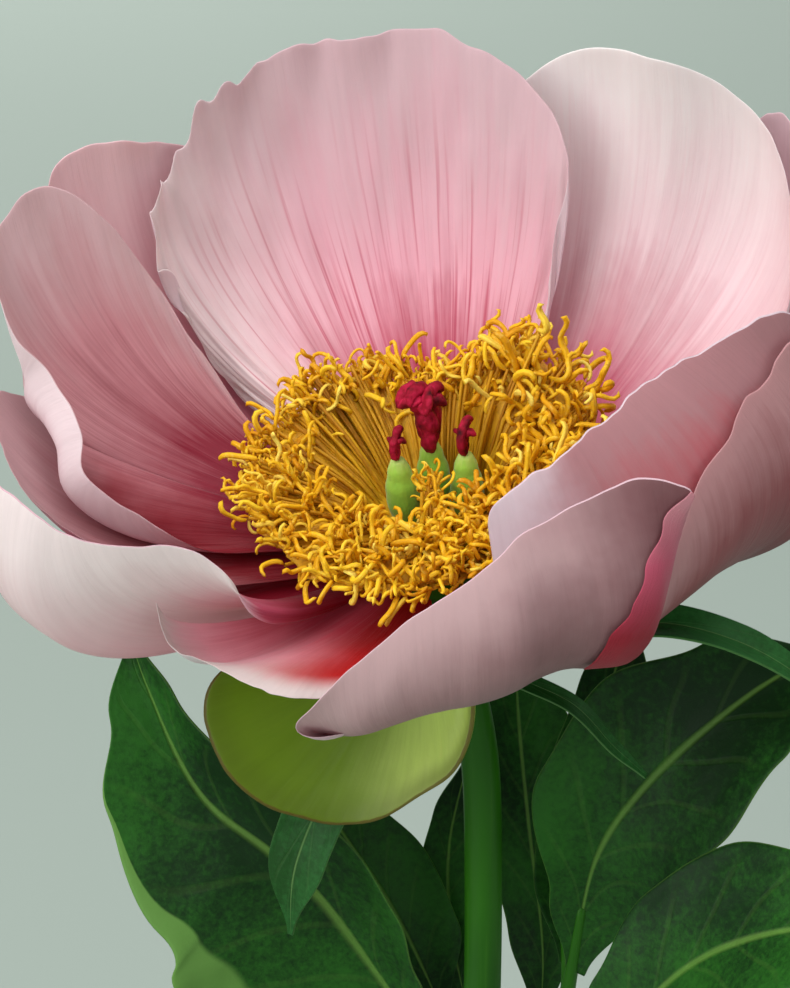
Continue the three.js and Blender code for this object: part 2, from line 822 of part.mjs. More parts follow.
// The three leaves on the stem. Each has a leafstalk that ends on the stem, and three leaflets.
const LEAVES = {
  leaf_left: {
    stalks: [
      [
        [1.6, 6.4, 174],
        [1.4, 7.6, 183],
        [-1, 8.2, 193],
        [-5.5, 8.1, 200.5],
      ],
      [
        [1.2, 8.1, 186],
        [2.4, 12.5, 193],
        [0.4, 14.4, 199],
      ],
      [
        [1.6, 8, 185],
        [4.4, 13.5, 192],
        [5.6, 16.8, 198],
      ],
    ],
    leaflets: [
      {
        midrib: [
          [-2, 8.2, 195],
          [-8, 8, 204.8],
          [-18.6, 9, 220.9],
          [-26.5, 10, 229],
          [-38.7, 14, 237.9],
          [-47.6, 20, 254.7],
          [-51, 24, 263.5],
        ],
        face: [-0.25, -1, 0.45],
        left: [1.5, 20, 28.5, 27.5, 22, 15, 8, 0.5],
        right: [1.5, 8, 13, 15, 14, 11, 6, 0.5],
        fold: [10, 38],
      },
      {
        midrib: [
          [1.4, 13.4, 196],
          [-7.6, 17, 215],
          [-17, 21, 229],
          [-24, 26, 240],
        ],
        face: [0.35, -1, 0.4],
        left: [1.5, 8.5, 9.5, 7, 0.5],
        right: [1.5, 9, 10, 7.5, 0.5],
        fold: [25, 5],
      },
      {
        midrib: [
          [5.2, 15.6, 196],
          [2.5, 21, 208],
          [2, 25, 222],
          [5.5, 29, 238],
        ],
        face: [0, -1, 0.3],
        left: [1.5, 4.5, 5, 3.6, 0.5],
        right: [1.5, 8, 10, 7, 0.5],
        fold: [10, 12],
      },
    ],
  },
  leaf_right: {
    stalks: [
      [
        [10.4, 7.8, 165],
        [15.5, 9.6, 174],
        [20, 10.2, 188],
        [21.8, 10.2, 203.5],
        [21.1, 11.9, 220],
      ],
      [
        [20.8, 10.2, 194],
        [22.3, 9.8, 206],
        [24, 8, 221],
      ],
      [
        [16.8, 9.8, 177],
        [17, 13, 187],
        [18, 16, 197],
      ],
    ],
    leaflets: [
      {
        midrib: [
          [21.6, 10.8, 208],
          [21.6, 13, 226],
          [25.5, 17.5, 243],
          [28.7, 21.5, 254.5],
          [32.4, 27, 268],
        ],
        face: [-0.2, -1, 0.3],
        left: [1.2, 5.5, 7, 5.5, 0.5],
        right: [1.2, 6, 8.5, 7, 0.5],
        fold: [20, 12],
      },
      {
        midrib: [
          [22.4, 9.5, 207],
          [26.2, 6.4, 231],
          [34.2, 4, 245.9],
          [45.8, 2.6, 259],
          [54, 3, 265.4],
          [63, 5, 269.5],
        ],
        face: [0.1, -0.85, 0.75],
        left: [1, 6, 15, 17, 11, 0.5],
        right: [2.5, 9, 14, 17, 13, 0.5],
        fold: [8, 22],
      },
      {
        midrib: [
          [17.6, 14.8, 193],
          [18, 18.5, 206],
          [15.6, 24, 226],
          [13.6, 29, 245],
          [13, 33, 259],
        ],
        face: [0.1, -1, 0.3],
        left: [1.2, 6, 8, 7, 0.5],
        right: [1.2, 5.5, 8, 9, 0.5],
        fold: [14, 14],
      },
    ],
  },
  leaf_front: {
    stalks: [
      [
        [8.9, 1.3, 161],
        [13.4, -4.5, 171],
        [20, -12.5, 186],
        [25.6, -18, 202],
        [29, -20.6, 213],
      ],
      [
        [17.6, -9.6, 180.5],
        [11, -17.6, 184],
        [3.5, -25, 184],
      ],
      [
        [18.6, -10.8, 183],
        [27, -9.5, 188],
        [35.5, -7.5, 188],
      ],
    ],
    leaflets: [
      {
        midrib: [
          [26.6, -18.8, 205],
          [31.8, -22.4, 219],
          [40.5, -28, 231.7],
          [50, -34.5, 240],
          [60, -41, 245],
          [68, -45.5, 245.5],
        ],
        face: [0, -0.75, 1],
        left: [1.5, 9, 14, 16, 12, 0.5],
        right: [1.5, 10, 15, 15, 11, 0.5],
        fold: [10, 10],
      },
      {
        midrib: [
          [5.8, -22.8, 184.6],
          [-5, -35, 182],
          [-15, -46, 174],
          [-22, -54, 162],
        ],
        face: [-0.2, -0.5, 1],
        left: [1.2, 10, 14, 9, 0.5],
        right: [1.2, 10, 14, 9, 0.5],
        fold: [12, 12],
      },
      {
        midrib: [
          [33, -8.1, 188.8],
          [46, -5, 187],
          [58, -2, 179],
          [68, 0, 167],
        ],
        face: [0.2, -0.3, 1],
        left: [1.2, 9, 12, 8, 0.5],
        right: [1.2, 9, 12, 8, 0.5],
        fold: [12, 12],
      },
    ],
  },
};

// A leafstalk is round, and thins towards the blade that it carries.
function stalk(points) {
  const steps = 3 * (points.length - 1);
  const line = curveThrough(points).getPoints(steps);
  const radii = line.map((_, i) =>
    THREE.MathUtils.lerp(PETIOLE_RADIUS, 0.6 * PETIOLE_RADIUS, i / steps),
  );
  return rod(line, radii, PETIOLE_SIDES);
}

const leaves = () =>
  Object.entries(LEAVES).map(([name, { stalks, leaflets }]) =>
    named(
      name,
      fuse([...stalks.map(stalk), ...leaflets.map(blade)]),
      LEAF_GREEN,
    ),
  );

// ---------------------------------------------------------------- stamens and carpels

// How far out and how high the outermost anthers stand, at azimuths 0, 45, 90 and so on round the bloom.
const ANTHER_REACH = [33, 33, 26, 30, 33, 32, 28, 24];
const ANTHER_HEIGHT = [19, 24, 20, 17, 12, 9, 8, 12];
const STAMEN_ROOT = [7.3, 9.3]; // inner and outer radius of the ring that the stamens grow from
const MASS_COLUMNS = 24;
const GOLDEN_ANGLE = 137.508; // degrees from each anther to the next

const roundBloom = (values, azimuth) =>
  alongSmooth([...values, values[0]], (((azimuth % 360) + 360) % 360) / 360);

// A repeatable draw of numbers between 0 and 1.
function seeded(seed) {
  let state = seed;
  return () => {
    state = (state * 16807) % 2147483647;
    return state / 2147483647;
  };
}

// The mound's upper outline from the inner foot outward, as shares of the anthers' reach and height, and
// the lowest point of its underside.
const CREST_REACH = [0.3, 0.42, 0.56, 0.74, 0.86];
const CREST_HEIGHT = [0.34, 0.66, 0.84, 0.86, 0.7];
const UNDERSIDE_REACH = 0.62;
const UNDERSIDE_HEIGHT = 0.36;

// The ring of filaments as one mass: a mound round the carpels that the anthers stand out of.
function filamentMass() {
  const [innerFoot, outerFoot] = STAMEN_ROOT;
  const foot = RECEPTACLE_TOP + GAP;
  const positions = [];
  const triangles = [];
  for (let i = 0; i < MASS_COLUMNS; i++) {
    const azimuth = (360 * i) / MASS_COLUMNS;
    const reach = roundBloom(ANTHER_REACH, azimuth);
    const height = roundBloom(ANTHER_HEIGHT, azimuth);
    const section = [
      [innerFoot, foot],
      ...CREST_REACH.map((share, k) => [share * reach, CREST_HEIGHT[k] * height]),
      [UNDERSIDE_REACH * reach, UNDERSIDE_HEIGHT * height],
      [outerFoot, foot],
    ];
    section.forEach(([r, h]) => positions.push(...polar(azimuth, r, h)));
    const size = section.length;
    const wrap = MASS_COLUMNS * size;
    for (let k = 0; k < size; k++) {
      const [a, b] = [i * size + k, i * size + ((k + 1) % size)];
      const [c, d] = [(b + size) % wrap, (a + size) % wrap];
      triangles.push(a, b, c, a, c, d);
    }
  }
  return facingOut(geometryOf(positions, triangles));
}

// One curled anther, from a root inside the mass out over its surface. spread is 0 at the mass's inner edge
// and 1 at its outer edge, where the anthers lean out most.
function anther(order, random) {
  const azimuth = order * GOLDEN_ANGLE;
  const spread = Math.sqrt((order + 0.5) / ANTHER_COUNT);
  const reach = roundBloom(ANTHER_REACH, azimuth);
  const height = roundBloom(ANTHER_HEIGHT, azimuth);
  const foot = reach * along(CREST_REACH, spread);
  const surface = height * along(CREST_HEIGHT, spread);
  const inward = ANTHER_ROOT_IN * reach * spread;
  const depth = ANTHER_DEPTH * (1 - 0.7 * spread);
  const outward = ANTHER_LEAN * reach * spread;
  const top = THREE.MathUtils.lerp(surface + ANTHER_SHORTEST, height, spread);
  const hook = ANTHER_HOOK * (0.5 + 0.5 * random());
  const bend = (ANTHER_BEND * (random() - 0.5)) / foot;
  const points = [
    polar(azimuth, foot - inward, surface - depth),
    polar(azimuth, foot + 0.2 * outward, surface),
    polar(azimuth, foot + 0.7 * outward, 0.2 * surface + 0.8 * top),
    polar(azimuth + 0.5 * bend, foot + outward + 0.6 * hook, top + 0.4 * ANTHER_HOOK),
    polar(azimuth + bend, foot + outward + hook, top - 0.25 * ANTHER_HOOK),
  ];
  const radii = [0.9, 1, 1, 1, 0.7].map((share) => share * ANTHER_RADIUS);
  return rod(points, radii, 3);
}

function stamens() {
  const random = seeded(STAMEN_SEED);
  const anthers = Array.from({ length: ANTHER_COUNT }, (_, i) =>
    anther(i, random),
  );
  return named("stamens", fuse([filamentMass(), ...anthers]), ANTHER_GOLD);
}

// A carpel is a flask that leans outward, with a curled crest on its neck. crest is the crest's half
// thickness, and turn the azimuth that it curls towards.
const CARPELS = {
  carpel_left: { azimuth: 168, crest: 1.5, turn: 200 },
  carpel_right: { azimuth: 14, crest: 1.6, turn: 330 },
  carpel_back: { azimuth: 92, crest: 2.5, turn: 180 },
};
const CARPEL_FOOT = RECEPTACLE_TOP + 2.5 * GAP;
const CARPEL_NECK = 16.5; // height of the neck that the crest grows from
const CARPEL_LINE = [3.9, 4.6, 5, 5.2, 5.3, 5.4]; // distance from the bloom's axis, from foot to neck
const CARPEL_GIRTH = [0.62, 0.88, 1, 0.94, 0.7, 0.4]; // shares of the radius there
const CREST_LINE = [
  [0, -0.5],
  [-0.3, 1],
  [0, 2.4],
  [0.9, 3.2],
  [1.7, 2.6],
]; // shares of the crest's half thickness, sideways and up from the neck
const CREST_GIRTH = [0.5, 0.85, 1, 0.9, 0.5];

function carpel({ azimuth, crest, turn }) {
  const body = CARPEL_LINE.map((distance, i) => {
    const up = i / (CARPEL_LINE.length - 1);
    return polar(azimuth, distance, THREE.MathUtils.lerp(CARPEL_FOOT, CARPEL_NECK, up));
  });
  const ridge = CREST_LINE.map(([sideways, up]) =>
    body.at(-1).clone().add(polar(turn, sideways * crest, up * crest)),
  );
  const bodyRadii = CARPEL_GIRTH.map((share) => share * CARPEL_RADIUS);
  const ridgeRadii = CREST_GIRTH.map((share) => share * crest);
  return fuse([
    rod(body, bodyRadii, CARPEL_SIDES),
    rod(ridge, ridgeRadii, CREST_SIDES),
  ]);
}

const carpels = () =>
  Object.entries(CARPELS).map(([name, shape]) =>
    named(name, carpel(shape), CARPEL_LIME),
  );

// ---------------------------------------------------------------- the whole object

const bloom = new THREE.Group();
bloom.position.copy(BLOOM_CENTRE);
bloom.rotation.set(radians(BLOOM_TILT), radians(BLOOM_LEAN), 0);
bloom.updateMatrixWorld();
bloom.add(...petals(), ...sepals(), ...bracts(), stamens(), ...carpels());

const receptacle = turned(RECEPTACLE, RECEPTACLE_SIDES).applyMatrix4(bloom.matrixWorld);
const stem = fuse([tubeAlongStem(STEM_RADIUS), receptacle]);

const peony = new THREE.Group();
peony.name = "peony_in_bud_vase";
peony.add(
  named("vase", vase(), GLAZE),
  named("water", water(), WATER),
  named("stem", stem, STEM_GREEN),
  ...leaves(),
  bloom,
);

export default peony;
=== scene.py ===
"""A peony in a bud vase: one open bloom on a leafy stem that stands in water in a small glazed vase.

The tables below are in millimetres and degrees, as in the construction, and MM turns them into metres.
+Z is up, the front of the bloom looks along -Y, and +X is to its right.
"""

import math
import random

import bpy
from mathutils import Matrix, Vector, noise


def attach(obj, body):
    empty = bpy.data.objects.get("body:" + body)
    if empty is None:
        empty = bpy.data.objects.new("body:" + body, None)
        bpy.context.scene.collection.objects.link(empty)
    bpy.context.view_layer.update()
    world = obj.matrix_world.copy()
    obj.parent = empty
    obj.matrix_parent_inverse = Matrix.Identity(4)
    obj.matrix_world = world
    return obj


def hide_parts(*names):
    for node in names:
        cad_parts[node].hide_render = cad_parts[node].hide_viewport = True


bl_info = {
    "name": "Peony in a bud vase",
    "version": (1, 0, 0),
    "blender": (4, 5, 0),
    "location": "3D View > Sidebar > Peony",
    "description": "Builds an open peony bloom on a leafy stem in a bud vase",
    "category": "Add Mesh",
}

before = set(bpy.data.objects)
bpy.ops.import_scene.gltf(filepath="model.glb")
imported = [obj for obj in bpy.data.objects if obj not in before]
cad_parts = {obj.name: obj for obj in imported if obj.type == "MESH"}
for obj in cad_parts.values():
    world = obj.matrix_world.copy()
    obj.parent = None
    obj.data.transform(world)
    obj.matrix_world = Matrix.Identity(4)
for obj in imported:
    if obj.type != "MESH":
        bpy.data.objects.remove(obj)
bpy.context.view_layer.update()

# ---------------------------------------------------------------- sizes

MM = 0.001

BLOOM_CENTRE = Vector((0, 0, 290)) * MM
BLOOM_TILT = math.radians(12)
BLOOM_LEAN = math.radians(-5)
BLOOM_FRAME = (
    Matrix.Translation(BLOOM_CENTRE)
    @ Matrix.Rotation(BLOOM_TILT, 4, "X")
    @ Matrix.Rotation(BLOOM_LEAN, 4, "Y")
    @ Matrix.Scale(MM, 4)
)
PLANT_FRAME = Matrix.Scale(MM, 4)

PETAL_CLAW = 5.2  # half the width of a petal where it joins the receptacle
SEPAL_CLAW = 5.6
PETAL_COLUMNS, PETAL_ROWS = 72, 44
TORN_PETAL_COLUMNS = 120
SEPAL_COLUMNS, SEPAL_ROWS = 40, 24
LEAF_COLUMNS, LEAF_ROWS = 28, 48

# An outline point is (azimuth, radius, height, angle of the rib's end above the horizontal). A rib leaves
# the claw, rises at the angle start, and meets the outline. first and last set how far each end bends the
# rib.
PETALS = {
    "petal_back": {
        "claw": (92, 9.9, 1.2), "start": 24, "first": 0.42, "last": 0.36,
        "outline": (
            (134, 40, 9, 60), (138, 48, 22, 80), (140, 53, 34, 88), (139, 55, 43, 90), (128, 57, 52, 90),
            (114, 58, 59, 88), (101, 54, 61, 80), (86, 54, 62, 72), (73, 51, 58, 70), (63, 48, 52, 70),
            (57, 45, 44, 75), (57, 40, 34, 80), (57, 36, 25, 75), (61, 33, 14, 55),
        ),
    },
    "petal_left_back": {
        "claw": (160, 9.9, 1.2), "start": 13, "first": 0.5, "last": 0.36,
        "outline": (
            (185, 42, 9, 50), (178, 54, 18, 150), (174, 54, 22, 170), (168, 60, 30, 150), (167, 65, 35, 90),
            (164, 68, 42, 85), (161, 68, 50, 85), (159, 65, 54, 88), (156, 62, 55, 90), (154, 58, 53, 90),
            (152, 54, 48, 88), (148, 48, 34, 75), (147, 43, 24, 65), (145, 38, 13, 50),
        ),
    },
    "petal_back_right": {
        "claw": (42, 10.1, -0.1), "start": 12, "first": 0.46, "last": 0.38,
        "outline": (
            (62, 40, 10, 55), (69, 45, 32, 78), (72, 52, 50, 86), (62, 55, 59, 92), (48, 58, 59, 94),
            (42, 64, 55, 96), (36, 67, 49, 98), (29, 66, 42, 98), (23, 63, 34, 95), (20, 60, 25, 80),
            (22, 53, 14, 55),
        ),
    },
    "petal_right": {
        "claw": (332, 10.1, -0.1), "start": (-4, -16, -28, -29, -21, -12, -6), "first": 0.85, "last": 0.74,
        "outline": (
            (6, 52, 19, 70), (5, 58, 33, 92), (2, 55, 38, 108), (356, 45, 37, 135), (342, 36, 36, 148),
            (322, 31.8, 34, 138), (306, 31.5, 32.5, 128), (296, 30.5, 30.3, 118), (288.5, 29.5, 27, 108),
            (287.5, 29.5, 22, 100), (289, 33, 12, 85),
        ),
    },
    "petal_front_left_low": {
        "claw": (232, 10.4, -2.7), "start": (0, -3, -5, -6, -6, -6, -6), "first": 0.45,
        "last": (0.22, 0.28, 0.3, 0.3, 0.3, 0.3, 0.3),
        "outline": (
            (206.5, 47.5, 9, 88), (208, 47.9, 5.5, 80), (209.5, 47.6, 2.8, 70), (212.5, 47, 1.8, 60),
            (216, 46.4, 2.6, 50), (221, 46, 3.2, 35), (226, 45.6, 3, 15), (232, 44.8, 2.2, 0),
            (238, 43.5, 1.2, -15), (244, 40.5, 0.2, -15), (250, 37.5, -0.4, -10), (257, 34.5, -0.8, 0),
            (264, 31, -1.2, 0), (270, 26, -2, 0),
        ),
    },
    "petal_left": {
        "claw": (180, 10.1, -0.1), "start": 0, "first": 0.5, "last": 0.35,
        "outline": (
            (161, 52, 11, 50), (165, 66, 22, 60), (168, 69, 25, 60), (172, 68, 24, 65), (177, 66, 21, 65),
            (183, 60, 14, 65), (187, 50, 6, 50),
        ),
    },
    "petal_left_behind": {
        "claw": (135.5, 10.3, -1.5), "start": -1, "first": 0.5, "last": 0.36,
        "outline": (
            (150, 52, 10, 55), (153, 63, 30, 75), (151, 67, 42, 85), (147, 67, 52, 90), (142, 63, 54, 92),
            (138, 60, 53, 94), (130, 60, 49, 92), (120, 60, 42, 90), (110, 58, 28, 80), (106, 52, 13, 60),
        ),
    },
    "petal_right_behind": {
        "claw": (24, 10.3, -1.5), "start": -1, "first": 0.5, "last": 0.38,
        "outline": (
            (46, 62, 26, 75), (42, 71, 42, 88), (38, 73, 47, 92), (31, 73, 43, 92), (24, 70, 36, 92),
            (20, 66, 24, 85), (19, 59, 12, 60),
        ),
    },
    "petal_front": {
        "claw": (280, 10.5, -4), "start": (-12, -12, -14, -22, -24, -22), "first": 0.6,
        "last": (0.3, 0.34, 0.4, 0.48, 0.56, 0.56, 0.56, 0.56, 0.56, 0.54, 0.5, 0.34, 0.3),
        "outline": (
            (300, 24, -6.5, 0), (306, 34, -4.5, 0), (311, 41, 1.5, 12), (312.5, 45, 10, 25),
            (313, 48, 20, 40), (314, 51, 28, 52), (315.5, 54.5, 34.5, 66), (311, 48.5, 37, 105),
            (306, 43, 33.5, 128), (300, 39.5, 30, 135), (293, 39, 28.5, 135), (286, 40.5, 27, 135),
            (278, 41, 23.6, 128), (267, 41.5, 18.8, 122), (254, 43.8, 10.6, 108), (246, 45.8, 3.6, 72),
            (241.2, 46.3, -2, 45), (243.5, 45.3, -3.6, 50), (249, 41.5, -4.8, 40),
        ),
    },
    "petal_front_left": {
        "claw": (196, 10.3, -1.4), "start": (-6, -8, -11, -14, -20, -4, 2, 2, 0, -2, -3, -3, -3),
        "first": (0.6, 0.62, 0.64, 0.66, 0.66, 0.45, 0.4, 0.38, 0.36, 0.34, 0.34, 0.34, 0.34),
        "last": (0.5, 0.5, 0.54, 0.58, 0.6, 0.4, 0.36, 0.34, 0.34, 0.34, 0.34, 0.34, 0.34),
        "outline": (
            (181, 60, 7, 50), (184, 67, 18, 80), (188, 69, 29, 100), (193, 66, 29, 112),
            (198.5, 62, 26, 110), (203, 57, 22.5, 84), (208, 51, 22, 76), (213, 45.5, 22, 78),
            (217, 42.5, 20.5, 80), (221, 40.5, 17, 80), (220, 38, 11, 80), (216, 35, 5, 60),
            (211, 31.5, 1.5, 30),
        ),
    },
}
SEPALS = {
    "sepal_front": {
        "claw": (235, 10.8, -5.6), "start": -70, "first": 0.4, "last": 0.35,
        "outline": (
            (191, 30, -12, 10), (196, 40, -17, 0), (205, 41.5, -25, -15), (214.5, 38.5, -31.5, -25),
            (224, 34, -34, -35), (233, 31, -35, -40), (244, 28, -34, -35), (256, 24, -31, -25),
            (269, 22, -28, -15), (279, 19, -22, 0), (284, 16, -14, 10),
        ),
    },
    "sepal_right": {
        "claw": (338, 10.5, -5.8), "start": -22, "first": 0.45, "last": 0.4,
        "outline": (
            (318, 17, -10, 0), (322, 22, -12, 0), (330, 25, -12.5, 5), (341, 26, -12.5, 5),
            (352, 25, -12, 5), (1, 22, -11, 0), (6, 17, -9.5, 0),
        ),
    },
    "sepal_back": {
        "claw": (100, 10.5, -5.8), "start": -25, "first": 0.45, "last": 0.4,
        "outline": (
            (62, 20, -10, 15), (70, 29, -10, 30), (84, 34, -9, 35), (100, 36, -8, 40), (116, 34, -9, 35),
            (130, 29, -10, 30), (138, 20, -10, 15),
        ),
    },
}
# A blade hangs on its midrib, given from base to tip. face is the way its upper side looks. left and
# right are the half widths at even steps along it, and fold is how far each half rises towards face, in
# degrees.
BRACTS = {
    "bract_front": {
        "midrib": (
            (-6.6, -6.2, -9), (-13, -8, -22), (-21, -12, -37), (-27.5, -17, -50), (-29.6, -18.4, -63),
        ),
        "face": (-0.5, -1, 0.4), "left": (2.2, 4.2, 5.6, 5.4, 0.5), "right": (2.2, 4.2, 5.4, 5, 0.5),
        "fold": (10, 10),
    },
    "bract_right": {
        "midrib": (
            (7.7, -1.6, -11.6), (20, -3.8, -16), (34, -6, -14), (46, -8, -17.5), (56, -9.5, -25),
            (65, -10.5, -35),
        ),
        "face": (0.35, -0.3, 1), "left": (2, 3.2, 3.6, 3.2, 2.4, 0.5),
        "right": (2, 3.2, 3.6, 3.2, 2.4, 0.5), "fold": (18, 18),
    },
    "bract_thin": {
        "midrib": ((2.9, -8.6, -10), (8, -14, -14), (19, -19.5, -18), (24.5, -19, -27), (29.6, -16.5, -36)),
        "face": (0.3, -0.7, 0.8), "left": (1.4, 1.6, 1.5, 1.2, 0.5), "right": (1.4, 1.6, 1.5, 1.2, 0.5),
        "fold": (12, 12),
    },
    "bract_back": {
        "midrib": ((-5.2, 7.8, -9.2), (-10, 20, -16), (-14, 31, -24), (-16.5, 39, -38), (-17.5, 43, -52)),
        "face": (-0.2, 0.8, 0.6), "left": (2.2, 4.2, 5, 3.6, 0.5), "right": (2.2, 4.2, 5, 3.6, 0.5),
        "fold": (12, 12),
    },
}
# A leaf's stalks are lines. Each of its leaflets is a blade, and turned has a pale margin folded over.
LEAVES = {
    "leaf_left": {
        "stalks": (
            ((4.4, 5.8, 168.5), (2.2, 6.5, 174.5), (1.4, 7.6, 183), (-1, 8.2, 193), (-5.5, 8.1, 200.5)),
            ((1.2, 8.1, 186), (2.4, 12.5, 193), (0.4, 14.4, 199)),
            ((1.6, 8, 185), (4.4, 13.5, 192), (5.6, 16.8, 198)),
        ),
        "leaflets": (
            {
                "midrib": (
                    (-2, 8.2, 195), (-8, 8, 204.8), (-18.6, 9, 220.9), (-26.5, 10, 229), (-38.7, 14, 237.9),
                    (-47.6, 20, 254.7), (-51, 24, 263.5),
                ),
                "face": (-0.25, -1, 0.45), "left": (1.5, 23, 31, 28.5, 22, 15, 8, 0.5),
                "right": (1.5, 8, 13, 15, 14, 11, 6, 0.5), "fold": (10, 38), "turned": True,
            },
            {
                "midrib": ((1.4, 13.4, 196), (-7.6, 17, 215), (-17, 21, 229), (-24, 26, 240)),
                "face": (0.35, -1, 0.4), "left": (1.5, 8.5, 9.5, 7, 0.5), "right": (1.5, 9, 10, 7.5, 0.5),
                "fold": (25, 5),
            },
            {
                "midrib": ((5.2, 15.6, 196), (2.5, 21, 208), (2, 25, 222), (5.5, 29, 238)),
                "face": (0, -1, 0.3), "left": (1.5, 4.5, 5, 3.6, 0.5), "right": (1.5, 8, 10, 7, 0.5),
                "fold": (10, 12),
            },
        ),
    },
    "leaf_right": {
        "stalks": (
            (
                (7.8, 6.4, 159.5), (10.6, 7.8, 165.5), (15.5, 9.6, 174), (20, 10.2, 188),
                (21.8, 10.2, 203.5), (21.1, 11.9, 220),
            ),
            ((20.8, 10.2, 194), (22.3, 9.8, 206), (24, 8, 221)),
            ((16.8, 9.8, 177), (17, 13, 187), (18, 16, 197)),
        ),
        "leaflets": (
            {
                "midrib": (
                    (21.6, 10.8, 208), (21.6, 13, 226), (25.5, 17.5, 243), (28.7, 21.5, 254.5),
                    (32.4, 27, 268),
                ),
                "face": (-0.2, -1, 0.3), "left": (1.2, 5.5, 7, 5.5, 0.5), "right": (1.2, 6, 8.5, 7, 0.5),
                "fold": (20, 12),
            },
            {
                "midrib": (
                    (22.4, 9.5, 207), (26.2, 6.4, 231), (34.2, 4, 245.9), (45.8, 2.6, 259), (54, 3, 265.4),
                    (63, 5, 269.5),
                ),
                "face": (0.1, -0.85, 0.75), "left": (1, 6, 15, 17, 11, 0.5),
                "right": (2.5, 9, 14, 17, 13, 0.5), "fold": (8, 22),
            },
            {
                "midrib": (
                    (17.6, 14.8, 193), (18, 18.5, 206), (15.6, 24, 226), (13.6, 29, 245), (13, 33, 259),
                ),
                "face": (0.1, -1, 0.3), "left": (1.2, 6, 8, 7, 0.5), "right": (1.2, 5.5, 8, 9, 0.5),
                "fold": (14, 14),
            },
        ),
    },
    "leaf_front": {
        "stalks": (
            (
                (6.9, 3.8, 155.5), (8.9, 1.4, 161.5), (13.4, -4.5, 171), (20, -12.5, 186), (25.6, -18, 202),
                (29, -20.6, 213),
            ),
            ((17.6, -9.6, 180.5), (11, -17.6, 184), (3.5, -25, 184)),
            ((18.6, -10.8, 183), (27, -9.5, 188), (35.5, -7.5, 188)),
        ),
        "leaflets": (
            {
                "midrib": (
                    (26.6, -18.8, 205), (31.8, -22.4, 219), (40.5, -28, 231.7), (50, -34.5, 240),
                    (60, -41, 245), (68, -45.5, 245.5),
                ),
                "face": (0, -0.75, 1), "left": (1.5, 9, 14, 16, 12, 0.5),
                "right": (1.5, 10, 15, 15, 11, 0.5), "fold": (10, 10),
            },
            {
                "midrib": ((5.8, -22.8, 184.6), (-5, -35, 182), (-15, -46, 174), (-22, -54, 162)),
                "face": (-0.2, -0.5, 1), "left": (1.2, 10, 14, 9, 0.5), "right": (1.2, 10, 14, 9, 0.5),
                "fold": (12, 12),
            },
            {
                "midrib": ((33, -8.1, 188.8), (46, -5, 187), (58, -2, 179), (68, 0, 167)),
                "face": (0.2, -0.3, 1), "left": (1.2, 9, 12, 8, 0.5), "right": (1.2, 9, 12, 8, 0.5),
                "fold": (12, 12),
            },
        ),
    },
}

# The stem's middle line, from its cut foot on the vase's floor to the bloom.
STEM_LINE = (
    (-13.5, -9.5, 7.2), (-3.4, -2, 80), (5.2, 4.6, 150), (7.2, 6.2, 190),
    (7.5, 6.3, 225), (6.6, 5.6, 250), (3.4, 3.6, 268), (1.1, 2.2, 279),
)
STEM_JOINTS = (162, 166, 175)  # heights where the leafstalks leave the stem
JOINT_WIDTH = 4.0
JOINT_SWELLING = 0.45
STEM_HOLE_RADIUS = 4.3
HOLE_SPAN = (-0.25, 0.6)  # where the water's hole starts and ends, as shares of the line's first two steps
RECEPTACLE_TOP = 2
RECEPTACLE = (
    (0, -16), (3.1, -15), (4.2, -12.4), (7.2, -10.2), (9.2, -8), (10.1, -6.2),
    (10.1, -3.4), (9.7, 0), (9.7, 1.2), (9.3, RECEPTACLE_TOP), (0, RECEPTACLE_TOP),
)
RECEPTACLE_SIDES = 48
PETIOLE_RADIUS = 1.5
PETIOLE_TAPER = 0.6

# The ring of stamens at azimuths 0, 45, 90 and so on round the bloom: how far its anthers reach, how high
# they stand, and where the inmost ones stand, as a share of the reach.
ANTHER_REACH = (33, 31, 26, 30.5, 35, 31, 26.5, 22)
ANTHER_HEIGHT = (19, 27, 19.2, 22, 16.5, 13, 12.5, 13)
ANTHER_INNER = (0.42, 0.42, 0.52, 0.66, 0.52, 0.36, 0.3, 0.34)
RING_EDGE = 0.86  # where the outermost filaments end, as a share of the reach
# Height of the ring from its inner to its outer edge, as shares of that height, at the back and the
# front.
RING_BACK = (0.86, 0.97, 1.0, 0.98, 0.88)
RING_FRONT = (0.74, 0.9, 0.94, 0.88, 0.78)
STAMEN_ROOT = (7.3, 9.3)  # inner and outer radius of the ring that the stamens grow from
MOUND_GRID = (144, 44)
DISC_RISE = 1.2  # how far the feet of the stamens fill up the receptacle's hollow
DISC_DISH = 0.4  # how much higher they stand at the edge of that disc
UNDERSIDE_REACH = 0.62
UNDERSIDE_HEIGHT = 0.34
MOUND_SHARE = 0.86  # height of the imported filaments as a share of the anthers'
MOUND_STEPS = 6
RIDGE_LEVEL, RIDGE_DEPTH, RIDGE_RATE = 0.97, 0.06, 14  # ridges round the mound, as a share of its radius
FRONT_CROWD = 0.22  # how much denser the anthers stand at the front
RIGHT_TUFT = (25, 45, 1.25)  # azimuth, half width in degrees and extra length of the longer anthers
# How the stamens are scattered: azimuth in degrees, height and length as shares, and radius.
AZIMUTH_SCATTER = 4
HEIGHT_SCATTER = (0.8, 1.04)
LENGTH_SCATTER = (0.75, 1.2)
RADIUS_SCATTER = 0.8
# Degrees that the anthers lean outward at the ring's inner and outer edge, and how far each strays.
ANTHER_LEAN = (-5, 60)
WAY_SCATTER = 0.75
# Each anther is a copy of one of these: degrees of hook, of twist and of wiggle.
ANTHER_CURLS = (
    (110, 30, 25), (175, -60, 35), (70, 100, 50), (235, 40, 20), (140, -120, 55), (50, 50, 75),
    (265, -30, 15), (195, 160, 30),
)
ANTHER_BENDS = 12
HOOK_POWER = 1.5  # how the hook gathers towards the anther's end
WIGGLE_RATE = 7
LOBE_DEPTH = 0.18
